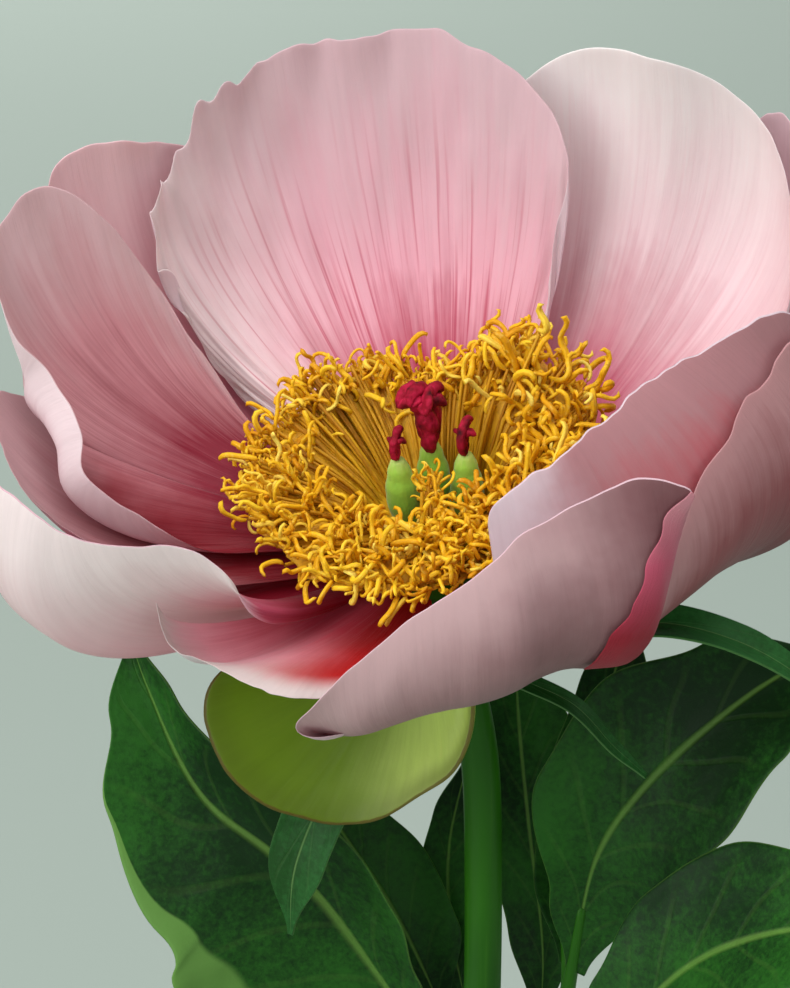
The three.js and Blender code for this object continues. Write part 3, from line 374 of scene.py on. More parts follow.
# Single anthers that stand out: azimuth, radius and height of its foot, length, lean and curl.
TALL_ANTHERS = (
    (29, 20.5, 31.5, 9.5, 4, 5), (25, 24, 25.5, 9, 30, 2), (35, 18, 25, 9, -20, 1),
    (53, 18, 25, 9.5, -35, 3), (60, 17, 24, 8, -50, 6), (44, 22, 26, 8, 10, 4), (17, 25, 22, 8, 40, 5),
    (101, 22, 20.5, 7.5, -10, 1),
)
TALL_WAY_SCATTER = 0.12
# Anthers in the hollow before the carpels: how many, and the spans of azimuth, radius and height.
INNER_ANTHERS = (40, (250, 290), (0.5, 7), (7, 15))
INNER_ROOT = 0.9  # where their feet stand, as a share of the ring's inner radius
INNER_LEAN = -20
INNER_WAY_SCATTER = 0.8
INNER_LENGTH = (0.6, 0.9)
FILAMENT_BOW = 1.4
FILAMENT_LENGTH = 20
FILAMENT_RADIUS = 0.3
FILAMENT_STEPS = 6
GOLDEN_ANGLE = 137.508  # degrees from each stamen to the next
STAMEN_SEED = 7
SHADE_SPREAD = (0.5, 0.24)  # mean and deviation of the anthers' own shades
FILAMENT_SHADE = 0.8  # shade of a filament as a share of its anther's
MOUND_SHADE = 0.7

# Azimuth, half thickness of the crest, and the azimuth that the crest curls towards.
CARPELS = {"carpel_left": (168, 1.3, 60), "carpel_right": (14, 1.5, 60), "carpel_back": (92, 2.8, 190)}
CARPEL_RADIUS = 2.7
CARPEL_FOOT = RECEPTACLE_TOP + 0.75
CARPEL_NECK = 16.5
CARPEL_LINE = (3.9, 4.6, 5, 5.2, 5.3, 5.4)
CARPEL_GIRTH = (0.62, 0.88, 1, 0.94, 0.7, 0.4)
CREST_LINE = ((0, -0.5), (-0.3, 1), (0, 2.4), (0.9, 3.2), (1.7, 2.6))
CREST_GIRTH = (0.5, 0.85, 1, 0.9, 0.5)
CREST_WAVE, CREST_WAVES = 0.3, 7  # depth and number of the waves along a lobe
# Turn, size and height above the neck of each curled lobe, on a small and on the large crest.
CREST_LOBES = ((0, 1.0, 0), (75, 0.75, 0), (-70, 0.8, 0))
LARGE_CREST_LOBES = (
    (0, 1.0, -0.4), (80, 0.9, 0.6), (-75, 1.0, -1.2), (160, 0.7, 1.4), (-140, 0.8, 0.8), (40, 0.8, 2.2),
)

VASE_HEIGHT = 152
VASE_WALL = 3.2
VASE_FLOOR = 6
VASE_INNER_FLOOR = 25
VASE_OUTSIDE = (
    (27, 0), (28.5, 1.2), (32.5, 12), (36.6, 28), (38, 46), (36.2, 63), (30.8, 79),
    (23.4, 93), (17.6, 106), (14.9, 120), (14.4, 134), (15.6, 145), (17.6, 150.6),
)
VASE_LIP = ((17.6, 150.6), (17.4, 151.6), (16.4, VASE_HEIGHT), (14.9, 151.3), (14.0, 149))
VASE_INSIDE = (VASE_FLOOR + 3, VASE_HEIGHT - 4)  # heights between which the inner face follows the outside
VASE_STEPS = 90
VASE_SIDES = 96
LIP_STEPS = 14
WATER_LEVEL = 104
WATER_GAP = 0.3
MENISCUS = 0.7
MENISCUS_CURVE = ((0, 1), (0.5, 0.3), (1.6, 0))  # distance from the wall, and share of its height

# ---------------------------------------------------------------- curves and numbers


def lerp(a, b, t):
    return a + (b - a) * t


def smooth(t):
    """0 below 0, 1 above 1, and eased between."""
    t = min(max(t, 0.0), 1.0)
    return t * t * (3 - 2 * t)


def hump(value, centre, width):
    """A bell that is 1 at the centre."""
    return math.exp(-(((value - centre) / width) ** 2))


def along(values, t):
    """The value at t, from 0 to 1, of evenly spaced numbers. One number stands for itself."""
    if isinstance(values, (int, float)):
        return values
    place = t * (len(values) - 1)
    before = min(int(place), len(values) - 2)
    return lerp(values[before], values[before + 1], place - before)


def along_smooth(values, t):
    """The same, eased at each number, so that an outline has no corners."""
    place = t * (len(values) - 1)
    before = min(int(place), len(values) - 2)
    return lerp(values[before], values[before + 1], smooth(place - before))


def rounded_ends(v, flatness):
    """A tube's girth, 1 along it and 0 at both ends. A higher flatness closes it more suddenly."""
    return math.sqrt(max(1 - (2 * v - 1) ** flatness, 0))


def polar(azimuth, radius, height):
    angle = math.radians(azimuth)
    return Vector((radius * math.cos(angle), radius * math.sin(angle), height))


class Line:
    """A smooth line that passes through every point, a centripetal Catmull-Rom spline."""

    SAMPLES = 200
    STEP = 0.0005

    def __init__(self, points):
        self.points = [Vector(point) for point in points]
        self.lengths = [0.0]
        before = self.at(0)
        for i in range(1, self.SAMPLES + 1):
            here = self.at(i / self.SAMPLES)
            self.lengths.append(self.lengths[-1] + (here - before).length)
            before = here

    def at(self, t):
        points = self.points
        place = t * (len(points) - 1)
        k = min(int(place), len(points) - 2)
        b, c = points[k], points[k + 1]
        a = points[k - 1] if k else 2 * b - c
        d = points[k + 2] if k + 2 < len(points) else 2 * c - b
        before, middle, after = (math.sqrt((q - p).length) for p, q in ((a, b), (b, c), (c, d)))
        leave = ((b - a) / before - (c - a) / (before + middle)) * middle + c - b
        arrive = ((d - c) / after - (d - b) / (middle + after)) * middle + c - b
        w = place - k
        return (
            b
            + leave * w
            + (3 * (c - b) - 2 * leave - arrive) * w**2
            + (2 * (b - c) + leave + arrive) * w**3
        )

    def t_at(self, share):
        """The t that lies this share of the length along the line."""
        wanted = share * self.lengths[-1]
        low, high = 0, self.SAMPLES
        while high - low > 1:
            middle = (low + high) // 2
            if self.lengths[middle] <= wanted:
                low = middle
            else:
                high = middle
        step = self.lengths[high] - self.lengths[low]
        return (low + (wanted - self.lengths[low]) / step) / self.SAMPLES

    def evenly(self, share):
        return self.at(self.t_at(share))

    def tangent(self, share):
        ahead, behind = min(share + self.STEP, 1), max(share - self.STEP, 0)
        return (self.evenly(ahead) - self.evenly(behind)).normalized()


# ---------------------------------------------------------------- mesh helpers


def take(piece):
    """Leaves the piece as the only one selected."""
    bpy.ops.object.select_all(action="DESELECT")
    piece.select_set(True)
    bpy.context.view_layer.objects.active = piece


def grid(name, columns, rows, place):
    """A grid with its vertices moved to place(u, v), where u and v run from 0 to 1 as on its UV map."""
    bpy.ops.object.select_all(action="DESELECT")
    bpy.ops.mesh.primitive_grid_add(x_subdivisions=columns, y_subdivisions=rows, size=1)
    piece = bpy.context.object
    piece.name = name
    for vertex in piece.data.vertices:
        vertex.co = place(vertex.co.x + 0.5, vertex.co.y + 0.5)
    piece.data.update()
    return piece


def modify(piece, kind, **settings):
    take(piece)
    bpy.ops.object.modifier_add(type=kind)
    modifier = piece.modifiers[-1]
    for key, value in settings.items():
        setattr(modifier, key, value)
    bpy.ops.object.modifier_apply(modifier=modifier.name)


def edit(piece, *steps):
    """Runs edit mode operators, each an operator or an (operator, settings) pair, on the whole mesh."""
    take(piece)
    bpy.ops.object.mode_set(mode="EDIT")
    bpy.ops.mesh.select_all(action="SELECT")
    for operator, settings in steps:
        operator(**settings)
    bpy.ops.object.mode_set(mode="OBJECT")


MERGE = 0.00001  # metres
SPIN_MERGE = 0.001  # millimetres


def close_up(piece):
    """Joins a wrapped grid at its seam and poles, and turns its faces outward."""
    edit(
        piece,
        (bpy.ops.mesh.remove_doubles, {"threshold": MERGE}),
        (bpy.ops.mesh.normals_make_consistent, {"inside": False}),
    )


def round_off(piece):
    take(piece)
    bpy.ops.object.shade_smooth()


FIRST_SIDE = Vector((0.31, 0.87, 0.39))  # no tube sets out along it


def tube(name, line, radius, around, steps, to_world=PLANT_FRAME, section=None):
    """A closed tube along a line. radius(v) is its radius, and section(angle) shapes it across."""
    shape = section or (lambda angle: 1.0)
    rings = []
    side = FIRST_SIDE
    for i in range(steps + 1):
        tangent = line.tangent(i / steps)
        side = (side - tangent * side.dot(tangent)).normalized()
        rings.append((line.evenly(i / steps), side.copy(), tangent.cross(side)))

    def place(u, v):
        centre, side, other = rings[round(v * steps)]
        angle = 2 * math.pi * u
        reach = radius(v) * shape(angle)
        return to_world @ (centre + side * reach * math.cos(angle) + other * reach * math.sin(angle))

    piece = grid(name, around, steps, place)
    close_up(piece)
    return piece


def join(name, pieces):
    """One piece of them all, under the name."""
    bpy.ops.object.select_all(action="DESELECT")
    for piece in pieces:
        piece.select_set(True)
    bpy.context.view_layer.objects.active = pieces[0]
    bpy.ops.object.join()
    pieces[0].name = name
    pieces[0].data.name = name
    return pieces[0]


def spun(name, profile, steps, to_world=PLANT_FRAME):
    """A solid of revolution about +Z from (radius, height) points that start and end on the axis."""
    bpy.ops.object.select_all(action="DESELECT")
    bpy.ops.mesh.primitive_circle_add(vertices=len(profile), fill_type="NOTHING")
    piece = bpy.context.object
    piece.name = name
    for vertex, (radius, height) in zip(piece.data.vertices, profile):
        vertex.co = (radius, 0, height)
    edit(
        piece,
        (bpy.ops.mesh.spin, {"steps": steps, "angle": 2 * math.pi, "center": (0, 0, 0), "axis": (0, 0, 1)}),
    )
    edit(
        piece,
        (bpy.ops.mesh.remove_doubles, {"threshold": SPIN_MERGE}),
        (bpy.ops.mesh.delete_loose, {}),
        (bpy.ops.mesh.normals_make_consistent, {"inside": False}),
    )
    piece.data.transform(to_world)
    return piece


def settle(piece, slot, *nodes):
    """Puts the piece on the one body, in the place of its CAD nodes. The slot is not used."""
    round_off(piece)
    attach(piece, "root")
    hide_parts(*nodes)


# ---------------------------------------------------------------- shader nodes


def shade(hex_colour):
    """A colour written as on the screen, as the linear numbers that a shader takes."""
    screen = [int(hex_colour[i : i + 2], 16) / 255 for i in (1, 3, 5)]
    return tuple(c / 12.92 if c <= 0.04045 else ((c + 0.055) / 1.055) ** 2.4 for c in screen) + (1.0,)


def opaque(colour):
    """A colour setting with its alpha."""
    return (*colour, 1.0)


class Wire:
    """One output of a shader node. An expression on wires adds its Math nodes."""

    def __init__(self, finish, socket):
        self.finish = finish
        self.socket = socket

    def __add__(self, other):
        return self.finish.math("ADD", self, other)

    def __sub__(self, other):
        return self.finish.math("SUBTRACT", self, other)

    def __rsub__(self, other):
        return self.finish.math("SUBTRACT", other, self)

    def __mul__(self, other):
        return self.finish.math("MULTIPLY", self, other)

    __radd__ = __add__
    __rmul__ = __mul__


class Finish:
    """A material under construction."""

    MIX_FACTOR, MIX_FIRST, MIX_SECOND, MIX_RESULT = 0, 6, 7, 2  # sockets of a Mix node for colours
    OBJECT_COORDINATES = 3  # output of a Texture Coordinate node

    def __init__(self, name):
        self.material = bpy.data.materials.new(name)
        self.material.use_nodes = True
        self.tree = self.material.node_tree
        self.tree.nodes.clear()

    def node(self, kind, settings=None, inputs=None, output=0):
        """Adds a node, makes its settings, then fills or links its sockets, and returns one output."""
        made = self.tree.nodes.new(kind)
        for key, value in (settings or {}).items():
            if key == "stops":
                self.set_stops(made.color_ramp, value)
            else:
                setattr(made, key, value)
        for key, value in (inputs or {}).items():
            if isinstance(value, Wire):
                self.tree.links.new(value.socket, made.inputs[key])
            else:
                made.inputs[key].default_value = value
        return Wire(self, made.outputs[output])

    def set_stops(self, ramp, stops):
        while len(ramp.elements) < len(stops):
            ramp.elements.new(1.0)
        for element, (position, colour) in zip(ramp.elements, stops):
            element.position = position
            element.color = colour

    def math(self, operation, *values):
        return self.node("ShaderNodeMath", {"operation": operation}, dict(enumerate(values)))

    def grows(self, value, low, high):
        """0 where the value is below low, 1 above high, and eased between."""
        settings = {"interpolation_type": "SMOOTHSTEP"}
        inputs = {"Value": value, "From Min": low, "From Max": high}
        return self.node("ShaderNodeMapRange", settings, inputs)

    def ramp(self, value, *stops):
        coloured = [(position, shade(colour)) for position, colour in stops]
        return self.node("ShaderNodeValToRGB", {"stops": coloured}, {"Fac": value})

    def mix(self, factor, first, second, **settings):
        """A colour between two colours, each a wire, a linear colour, or one written as on the screen."""
        first, second = (shade(c) if isinstance(c, str) else c for c in (first, second))
        inputs = {self.MIX_FACTOR: factor, self.MIX_FIRST: first, self.MIX_SECOND: second}
        return self.node("ShaderNodeMix", {"data_type": "RGBA", **settings}, inputs, self.MIX_RESULT)

    def dim(self, colour, factor):
        """A colour made darker or lighter by a number that may vary."""
        grey = self.node("ShaderNodeCombineColor", None, {0: factor, 1: factor, 2: factor})
        return self.mix(1.0, colour, grey, blend_type="MULTIPLY")

    def across_and_along(self):
        """The two directions of the piece's UV map."""
        uv = self.node("ShaderNodeUVMap", {"uv_map": "UVMap"})
        return [self.node("ShaderNodeSeparateXYZ", None, {0: uv}, axis) for axis in (0, 1)]

    def place(self, stretch=(1, 1, 1)):
        """Object coordinates, stretched."""
        here = self.node("ShaderNodeTexCoord", output=self.OBJECT_COORDINATES)
        return self.node("ShaderNodeMapping", None, {"Vector": here, "Scale": stretch})

    def noise(self, vector, scale, detail, roughness=0.5):
        inputs = {"Vector": vector, "Scale": scale, "Detail": detail, "Roughness": roughness}
        return self.node("ShaderNodeTexNoise", None, inputs)

    def cloud(self, scale, detail=3.0, roughness=0.5, stretch=(1, 1, 1)):
        """Noise all through the piece."""
        return self.noise(self.place(stretch), scale, detail, roughness)

    def streaks(self, x, y, z=0.0, detail=3.0, roughness=0.5):
        """Noise at x, y and z, the first two being wires along the piece's UV map."""
        vector = self.node("ShaderNodeCombineXYZ", None, {0: x, 1: y, 2: z})
        return self.noise(vector, 1.0, detail, roughness)

    def own_shade(self):
        """The number that each copy carries."""
        return self.node("ShaderNodeAttribute", {"attribute_name": "own_shade"}, output=2)

    def bump(self, height, strength, distance):
        inputs = {"Height": height, "Strength": strength, "Distance": distance}
        return self.node("ShaderNodeBump", None, inputs)

    def surface(self, colour, roughness, normal=None, **constants):
        inputs = {"Base Color": colour, "Roughness": roughness}
        if normal:
            inputs["Normal"] = normal
        inputs.update({key.replace("_", " "): value for key, value in constants.items()})
        return self.node("ShaderNodeBsdfPrincipled", None, inputs)

    def see_through(self, surface, colour, share, normal):
        """Lets a share of the light through, as a thin petal or leaf does."""
        glow = self.node("ShaderNodeBsdfTranslucent", None, {"Color": colour, "Normal": normal})
        return self.node("ShaderNodeMixShader", None, {0: share, 1: surface, 2: glow})

    def done(self, surface):
        end = self.tree.nodes.new("ShaderNodeOutputMaterial")
        self.tree.links.new(surface.socket, end.inputs["Surface"])
        return self.material


# ---------------------------------------------------------------- finishes of the flower

# Noise scales are waves per metre, or waves along the UV map for streaks. A bump's distance is in metres.
PETAL_THROUGH, SEPAL_THROUGH = 0.26, 0.55  # share of the light that passes a petal or a sepal
LEAF_THROUGH, ANTHER_THROUGH = 0.16, 0.15
FINE_SHARE = 0.45  # how far the fine streaks of a petal reach beside the broad ones
BLOTCH_SHARE = 0.22
BASE_SHARE = 0.45  # how much of its reach the base colour fills unmixed
RIM_FROM = 0.92
# How far a blush strays, and where it fades below the rim. On some petals the blush paints light and shade.
BLUSH_AND_PAINTED_LIGHT_SCATTER = 0.2
BLUSH_AND_PAINTED_LIGHT_END = (0.8, 0.97)
LINES_END = (0.45, 0.95)


def petal_finish(name, colours, look, streaks, blush_and_painted_light=None):
    """A petal's colour runs from base at the claw through middle to rim, in streaks that fan out."""
    base, middle, rim = colours
    reach = look["reach"]
    finish = Finish(name)
    across, up = finish.across_and_along()
    broad = finish.streaks(across * 26, up * 1.4, detail=4.0, roughness=0.62)
    fine = finish.streaks(across * 110, up * 3.0, 5.0, roughness=0.6)
    blotch = finish.cloud(55.0, detail=4.0, roughness=0.6)
    height = up + (broad - 0.5) * streaks + (fine - 0.5) * (FINE_SHARE * streaks)
    height = height + (blotch - 0.5) * BLOTCH_SHARE
    stops = ((0.0, base), (reach * BASE_SHARE, base), (reach, middle), (RIM_FROM, rim), (1.0, rim))
    colour = finish.ramp(height, *stops)
    # A blush: on some petals the petal's own colour, on others painted light and shade.
    if blush_and_painted_light:
        second, low, high, to_rim = blush_and_painted_light
        set_in = finish.grows(across + (blotch - 0.5) * BLUSH_AND_PAINTED_LIGHT_SCATTER, low, high)
        if not to_rim:
            set_in = set_in * (1.0 - finish.grows(up, *BLUSH_AND_PAINTED_LIGHT_END))
        colour = finish.mix(set_in, colour, second)
    if "lines" in look:
        thin = finish.grows(finish.streaks(across * 150, up * 1.6, 9.0, detail=2.0), 0.52, 0.72)
        colour = finish.mix(thin * (1.0 - finish.grows(up, *LINES_END)) * look["lines"], colour, base)
    colour = finish.dim(colour, fine * 0.12 + broad * 0.08 + 0.9)
    relief = fine * 0.5 + broad * 0.8 + finish.cloud(420.0, detail=2.0) * 0.35
    if "crumple" in look:
        relief = relief + finish.cloud(90.0, detail=2.0, roughness=0.4) * look["crumple"]
    normal = finish.bump(relief, strength=0.32, distance=0.0006)
    soft = {"Sheen_Weight": 0.15, "Sheen_Roughness": 0.45, "Specular_IOR_Level": 0.3}
    surface = finish.surface(colour, fine * 0.15 + 0.42, normal, **soft)
    return finish.done(finish.see_through(surface, colour, PETAL_THROUGH, normal))


def sepal_finish():
    """Yellow-green with a thin brown rim, and painted light: brighter towards one side, with a band of
    painted shade inside the rim.
    """
    finish = Finish("sepal yellow green")
    across, up = finish.across_and_along()
    veins = finish.streaks(across * 46, up * 2.2)
    cloud = finish.cloud(42.0)
    # Painted light: brighter towards one side, for the light that the sepal catches and lets through.
    colour = finish.mix(finish.grows(across + (cloud - 0.5) * 0.3, 0.45, 0.78), "#84a60c", "#f0ff98")
    # Painted shade: a darker olive band inside the rim.
    colour = finish.mix(finish.grows(up + (cloud - 0.5) * 0.12, 0.82, 0.97) * 0.4, colour, "#6a8016")
    margin = finish.grows(up + (veins - 0.5) * 0.02, 0.985, 0.996)
    colour = finish.mix(margin * 0.75, colour, "#7a5420")
    colour = finish.dim(colour, veins * 0.22 + 0.88)
    normal = finish.bump(veins + finish.cloud(700.0) * 0.25, strength=0.2, distance=0.0005)
    surface = finish.surface(colour, veins * 0.14 + 0.4, normal, Coat_Weight=0.08, Coat_Roughness=0.35)
    return finish.done(finish.see_through(surface, colour, SEPAL_THROUGH, normal))


# Side veins of a leaf: how far back they slant, how much they straighten towards the margin, and how far
# they waver.
VEIN_SLANT, VEIN_CURVE, VEIN_WAVER = 2.1, 0.7, 0.5
TURNED_GREEN = "#6c9c48"
TURNED_SPAN = (0.3, 0.82)  # where along the blade the turned margin narrows to nothing


def leaf_finish(name, dark, light, vein, side_veins, roughness, turned=0.0):
    """A leaf with a pale midrib and side veins that leave it at a slant and curve towards the tip.

    turned is the share of the width whose pale underside shows at the left margin, near the base.
    """
    finish = Finish(name)
    across, up = finish.across_and_along()
    side = finish.math("ABSOLUTE", across - 0.5) * 2
    warp = finish.streaks(across * 2, up * 3, 2.0, detail=1.0)
    march = up * side_veins - side * VEIN_SLANT + side * side * VEIN_CURVE + (warp - 0.5) * VEIN_WAVER
    crest = finish.math("COSINE", march * (2 * math.pi)) * 0.5 + 0.5
    branch = finish.grows(crest, 0.93, 1.0) * finish.grows(1.0 - side, 0.02, 0.5)
    rib = 1.0 - finish.grows(side, 0.012, 0.06)
    margin = finish.grows(side, 0.975, 1.0)
    grain = finish.cloud(900.0, roughness=0.7)
    cloud = finish.cloud(36.0)
    colour = finish.mix(finish.grows(cloud + (grain - 0.5) * 0.5, 0.3, 0.72), dark, light)
    for place, share in ((branch, 0.05), (rib, 0.45), (margin, 0.3)):
        colour = finish.mix(place * share, colour, vein)
    if turned:
        edge = finish.math("DIVIDE", across, (1.0 - finish.grows(up, *TURNED_SPAN)) * turned + 0.0001)
        colour = finish.mix((1.0 - finish.grows(edge, 0.85, 1.0)) * 0.85, colour, TURNED_GREEN)
    relief = grain * 0.18 - branch * 0.14 - rib * 0.8 + crest * 0.1 + cloud * 0.4
    normal = finish.bump(relief, strength=0.4, distance=0.0009)
    waxy = {"Coat_Weight": 0.03, "Coat_Roughness": 0.35, "Specular_IOR_Level": 0.2}
    surface = finish.surface(colour, grain * 0.18 + roughness, normal, **waxy)
    return finish.done(finish.see_through(surface, colour, LEAF_THROUGH, normal))


def stem_finish():
    """Smooth green with long pale lines."""
    finish = Finish("stem green")
    lines = finish.cloud(900.0, stretch=(1, 1, 0.03))
    cloud = finish.cloud(60.0, stretch=(1, 1, 0.25))
    colour = finish.mix(finish.grows(cloud, 0.3, 0.7), "#184c04", "#2d6e08")
    colour = finish.mix(finish.grows(lines, 0.55, 0.8) * 0.25, colour, "#4c8420")
    normal = finish.bump(lines, strength=0.25, distance=0.0003)
    waxy = {"Coat_Weight": 0.04, "Specular_IOR_Level": 0.2}
    return finish.done(finish.surface(colour, cloud * 0.2 + 0.4, normal, **waxy))


def anther_finish():
    """Golden pollen whose pale specks are partly painted highlight, with painted shade in the groove. Each
    anther has its own shade.
    """
    finish = Finish("anther gold")
    across, _ = finish.across_and_along()
    pollen_and_highlight = finish.cloud(1600.0, detail=2.0)
    groove_shade = finish.math("COSINE", across * (4 * math.pi)) * 0.5 + 0.5
    golds = ((0.0, "#e09a00"), (0.4, "#f6bc10"), (0.75, "#ffd428"), (1.0, "#ffe766"))
    colour = finish.ramp(finish.own_shade(), *golds)
    # Pale specks of pollen, partly painted highlight.
    colour = finish.mix(finish.grows(pollen_and_highlight, 0.5, 0.75) * 0.35, colour, "#ffe878")
    # Painted shade, orange, in the groove between the two lobes.
    colour = finish.mix((1.0 - finish.grows(groove_shade, 0.0, 0.3)) * 0.3, colour, "#cc7c00")
    normal = finish.bump(pollen_and_highlight, strength=0.5, distance=0.0002)
    surface = finish.surface(colour, pollen_and_highlight * 0.2 + 0.5, normal, Specular_IOR_Level=0.28)
    return finish.done(finish.see_through(surface, colour, ANTHER_THROUGH, normal))


def filament_finish():
    """Ochre threads. Each filament has its own shade."""
    finish = Finish("filament ochre")
    threads = finish.cloud(1500.0, stretch=(1, 1, 0.12))
    colour = finish.mix(finish.own_shade(), "#b87a00", "#eab40c")
    colour = finish.mix(finish.grows(threads, 0.45, 0.7) * 0.35, colour, "#966404")
    normal = finish.bump(threads, strength=0.6, distance=0.0003)
    return finish.done(finish.surface(colour, threads * 0.2 + 0.5, normal))


def carpel_finish():
    """Lime green down the flask, darker at its foot."""
    finish = Finish("carpel lime")
    across, up = finish.across_and_along()
    down = finish.cloud(1300.0)
    ridge = finish.streaks(across * 9, up * 1.2, detail=2.0)
    limes = ((0.0, "#3f7d12"), (0.4, "#78b52a"), (0.85, "#9acb3f"), (1.0, "#b8cf6a"))
    colour = finish.dim(finish.ramp(up + (ridge - 0.5) * 0.4, *limes), down * 0.2 + 0.9)
    normal = finish.bump(down + ridge, strength=0.3, distance=0.0004)
    return finish.done(finish.surface(colour, down * 0.2 + 0.5, normal, Sheen_Weight=0.3))


def crest_finish():
    """Crimson velvet, with painted shade in the hollows of its folds and painted highlight on their crests.
    """
    finish = Finish("crest crimson")
    down = finish.cloud(1400.0)
    fold = finish.cloud(420.0, detail=2.0)
    # Over the crest's own crimson, the colour runs darker where the bump sinks and pinker where it rises:
    # painted shade and highlight.
    colour = finish.ramp(fold + (down - 0.5) * 0.4, (0.25, "#3c0009"), (0.5, "#8a0320"), (0.75, "#bb1a40"))
    normal = finish.bump(down * 0.6 + fold, strength=0.6, distance=0.0005)
    return finish.done(finish.surface(colour, down * 0.2 + 0.6, normal, Specular_IOR_Level=0.2))


# ---------------------------------------------------------------- finishes of the vase and the stage

LIP_WARMS = (0.1485, 0.1515)  # heights in metres between which the glaze turns warmer
FOOT_BARE = (0.0006, 0.0016)
WATER_CLEAR = 0.65  # share of the light that passes the water straight


def glaze_finish(colour):
    """Satin off-white glaze with fine pinholes, a warmer lip, and a bare ring under the foot."""
    finish = Finish("vase glaze")
    cloud = finish.cloud(22.0, detail=4.0)
    specks = finish.cloud(620.0, detail=1.0)
    throwing = finish.cloud(260.0, stretch=(0.05, 0.05, 1))
    height = finish.node("ShaderNodeSeparateXYZ", None, {0: finish.place()}, 2)
    lip = finish.grows(height + (cloud - 0.5) * 0.006, *LIP_WARMS)
    bare = 1.0 - finish.grows(height + (cloud - 0.5) * 0.0008, *FOOT_BARE)
    base = finish.mix(finish.grows(cloud, 0.3, 0.75) * 0.35, colour, "#d9d0bd")
    base = finish.mix(finish.grows(specks, 0.7, 0.78) * 0.5, base, "#b29e7e")
    base = finish.mix(lip * 0.45, base, "#c8b894")
    base = finish.mix(bare, base, "#b9a283")
    relief = throwing * 0.7 + cloud * 0.8 - finish.grows(specks, 0.7, 0.8) * 0.5
    normal = finish.bump(relief, strength=0.25, distance=0.0006)
    rough = bare * 0.5 + cloud * 0.12 + 0.16
    return finish.done(finish.surface(base, rough, normal, Coat_Weight=0.5, Coat_Roughness=0.08))


def water_finish():
    """Clear water that the light mostly passes."""
    finish = Finish("vase water")
    ripple = finish.cloud(60.0, detail=2.0)
    colour = finish.mix(ripple, "#c9dcd6", "#dbe8e2")
    normal = finish.bump(ripple, strength=0.1, distance=0.0004)
    surface = finish.surface(colour, ripple * 0.02 + 0.02, normal, Specular_IOR_Level=0.6)
    clear = finish.node("ShaderNodeBsdfTransparent", None, {"Color": shade("#e4efeb")})
    return finish.done(finish.node("ShaderNodeMixShader", None, {0: WATER_CLEAR, 1: surface, 2: clear}))


def floor_finish(colour):
    """Matt and pale, with faint clouds."""
    finish = Finish("pale floor")
    cloud = finish.cloud(3.0)
    return finish.done(finish.surface(finish.mix(cloud * 0.25, colour, "#b9c3bc"), cloud * 0.1 + 0.75))


# ---------------------------------------------------------------- petals and sepals

UP = Vector((0, 0, 1))


def level(vector):
    return Vector((vector.x, vector.y, 0)).normalized()


class Fan:
    """The surface of a petal or sepal: a fan of curved ribs from the claw to the outline."""

    STEP = 0.01

    def __init__(self, claw, start, first, last, outline, half_claw):
        self.azimuth, self.radius, self.height = claw
        self.start, self.first, self.last = start, first, last
        self.half_claw = half_claw
        tips = [polar(*point[:3]) for point in outline]
        self.edge = Line(tips)
        self.end_angles = [point[3] for point in outline]
        claw_side = polar(self.azimuth + 90, 1, 0)
        self.turn = 1 if (tips[0] - tips[-1]).dot(claw_side) > 0 else -1
        self.known = {}

    def rib(self, u):
        """The four control points of a rib's Bezier curve."""
        if u in self.known:
            return self.known[u]
        t = self.edge.t_at(u)
        tip = self.edge.at(t)
        swing = math.degrees((1 - 2 * u) * self.half_claw * self.turn / self.radius)
        root = polar(self.azimuth + swing, self.radius, self.height)
        reach = (tip - root).length
        start = math.radians(along(self.start, t))
        end = math.radians(along(self.end_angles, t))
        leave = level(tip - root) * math.cos(start) + UP * math.sin(start)
        arrive = level(tip) * math.cos(end) + UP * math.sin(end)
        bends = (root + leave * reach * along(self.first, t), tip - arrive * reach * along(self.last, t))
        self.known[u] = (root, *bends, tip)
        return self.known[u]

    def at(self, u, v):
        a, b, c, d = self.rib(u)
        w = 1 - v
        return a * w**3 + b * (3 * w * w * v) + c * (3 * w * v * v) + d * v**3

    def normal(self, u, v):
        """The way the inner face looks."""
        across = self.at(min(u + self.STEP, 1), v) - self.at(max(u - self.STEP, 0), v)
        lengthwise = self.at(u, min(v + self.STEP, 1)) - self.at(u, max(v - self.STEP, 0))
        return across.cross(lengthwise).normalized() * self.turn


# The ragged edge of a petal: waves across it, the row of the noise, and the depth as a share of the
# petal's length, on a plain edge and, besides, where it is torn.
EDGE_LAYERS = ((34, 0, 0.01, 0.07), (70, 4, 0, 0.035), (9, 1, 0.008, 0))
# Its ripples, each with its waves across and along the petal and the shift of its seed. A frill then has
# its height and how closely it keeps to the edge. A crease has its share of the height, how soon it sets
# in above the claw, and how much a frill deepens it.
BROAD_RIPPLE = (1.2, 3)
FRILL_LAYERS = ((20, 2, 5, 4.0, 5), (42, 3, 13, 3.4, 10))
CREASE_LAYERS = ((30, 5, 9, 1.0, 3, 0), (64, 5, 11, 0.7, 2, 2))
PLAIN_CREASE = 0.18
NO_FRILL = (0.5, 1.0, 0.0)


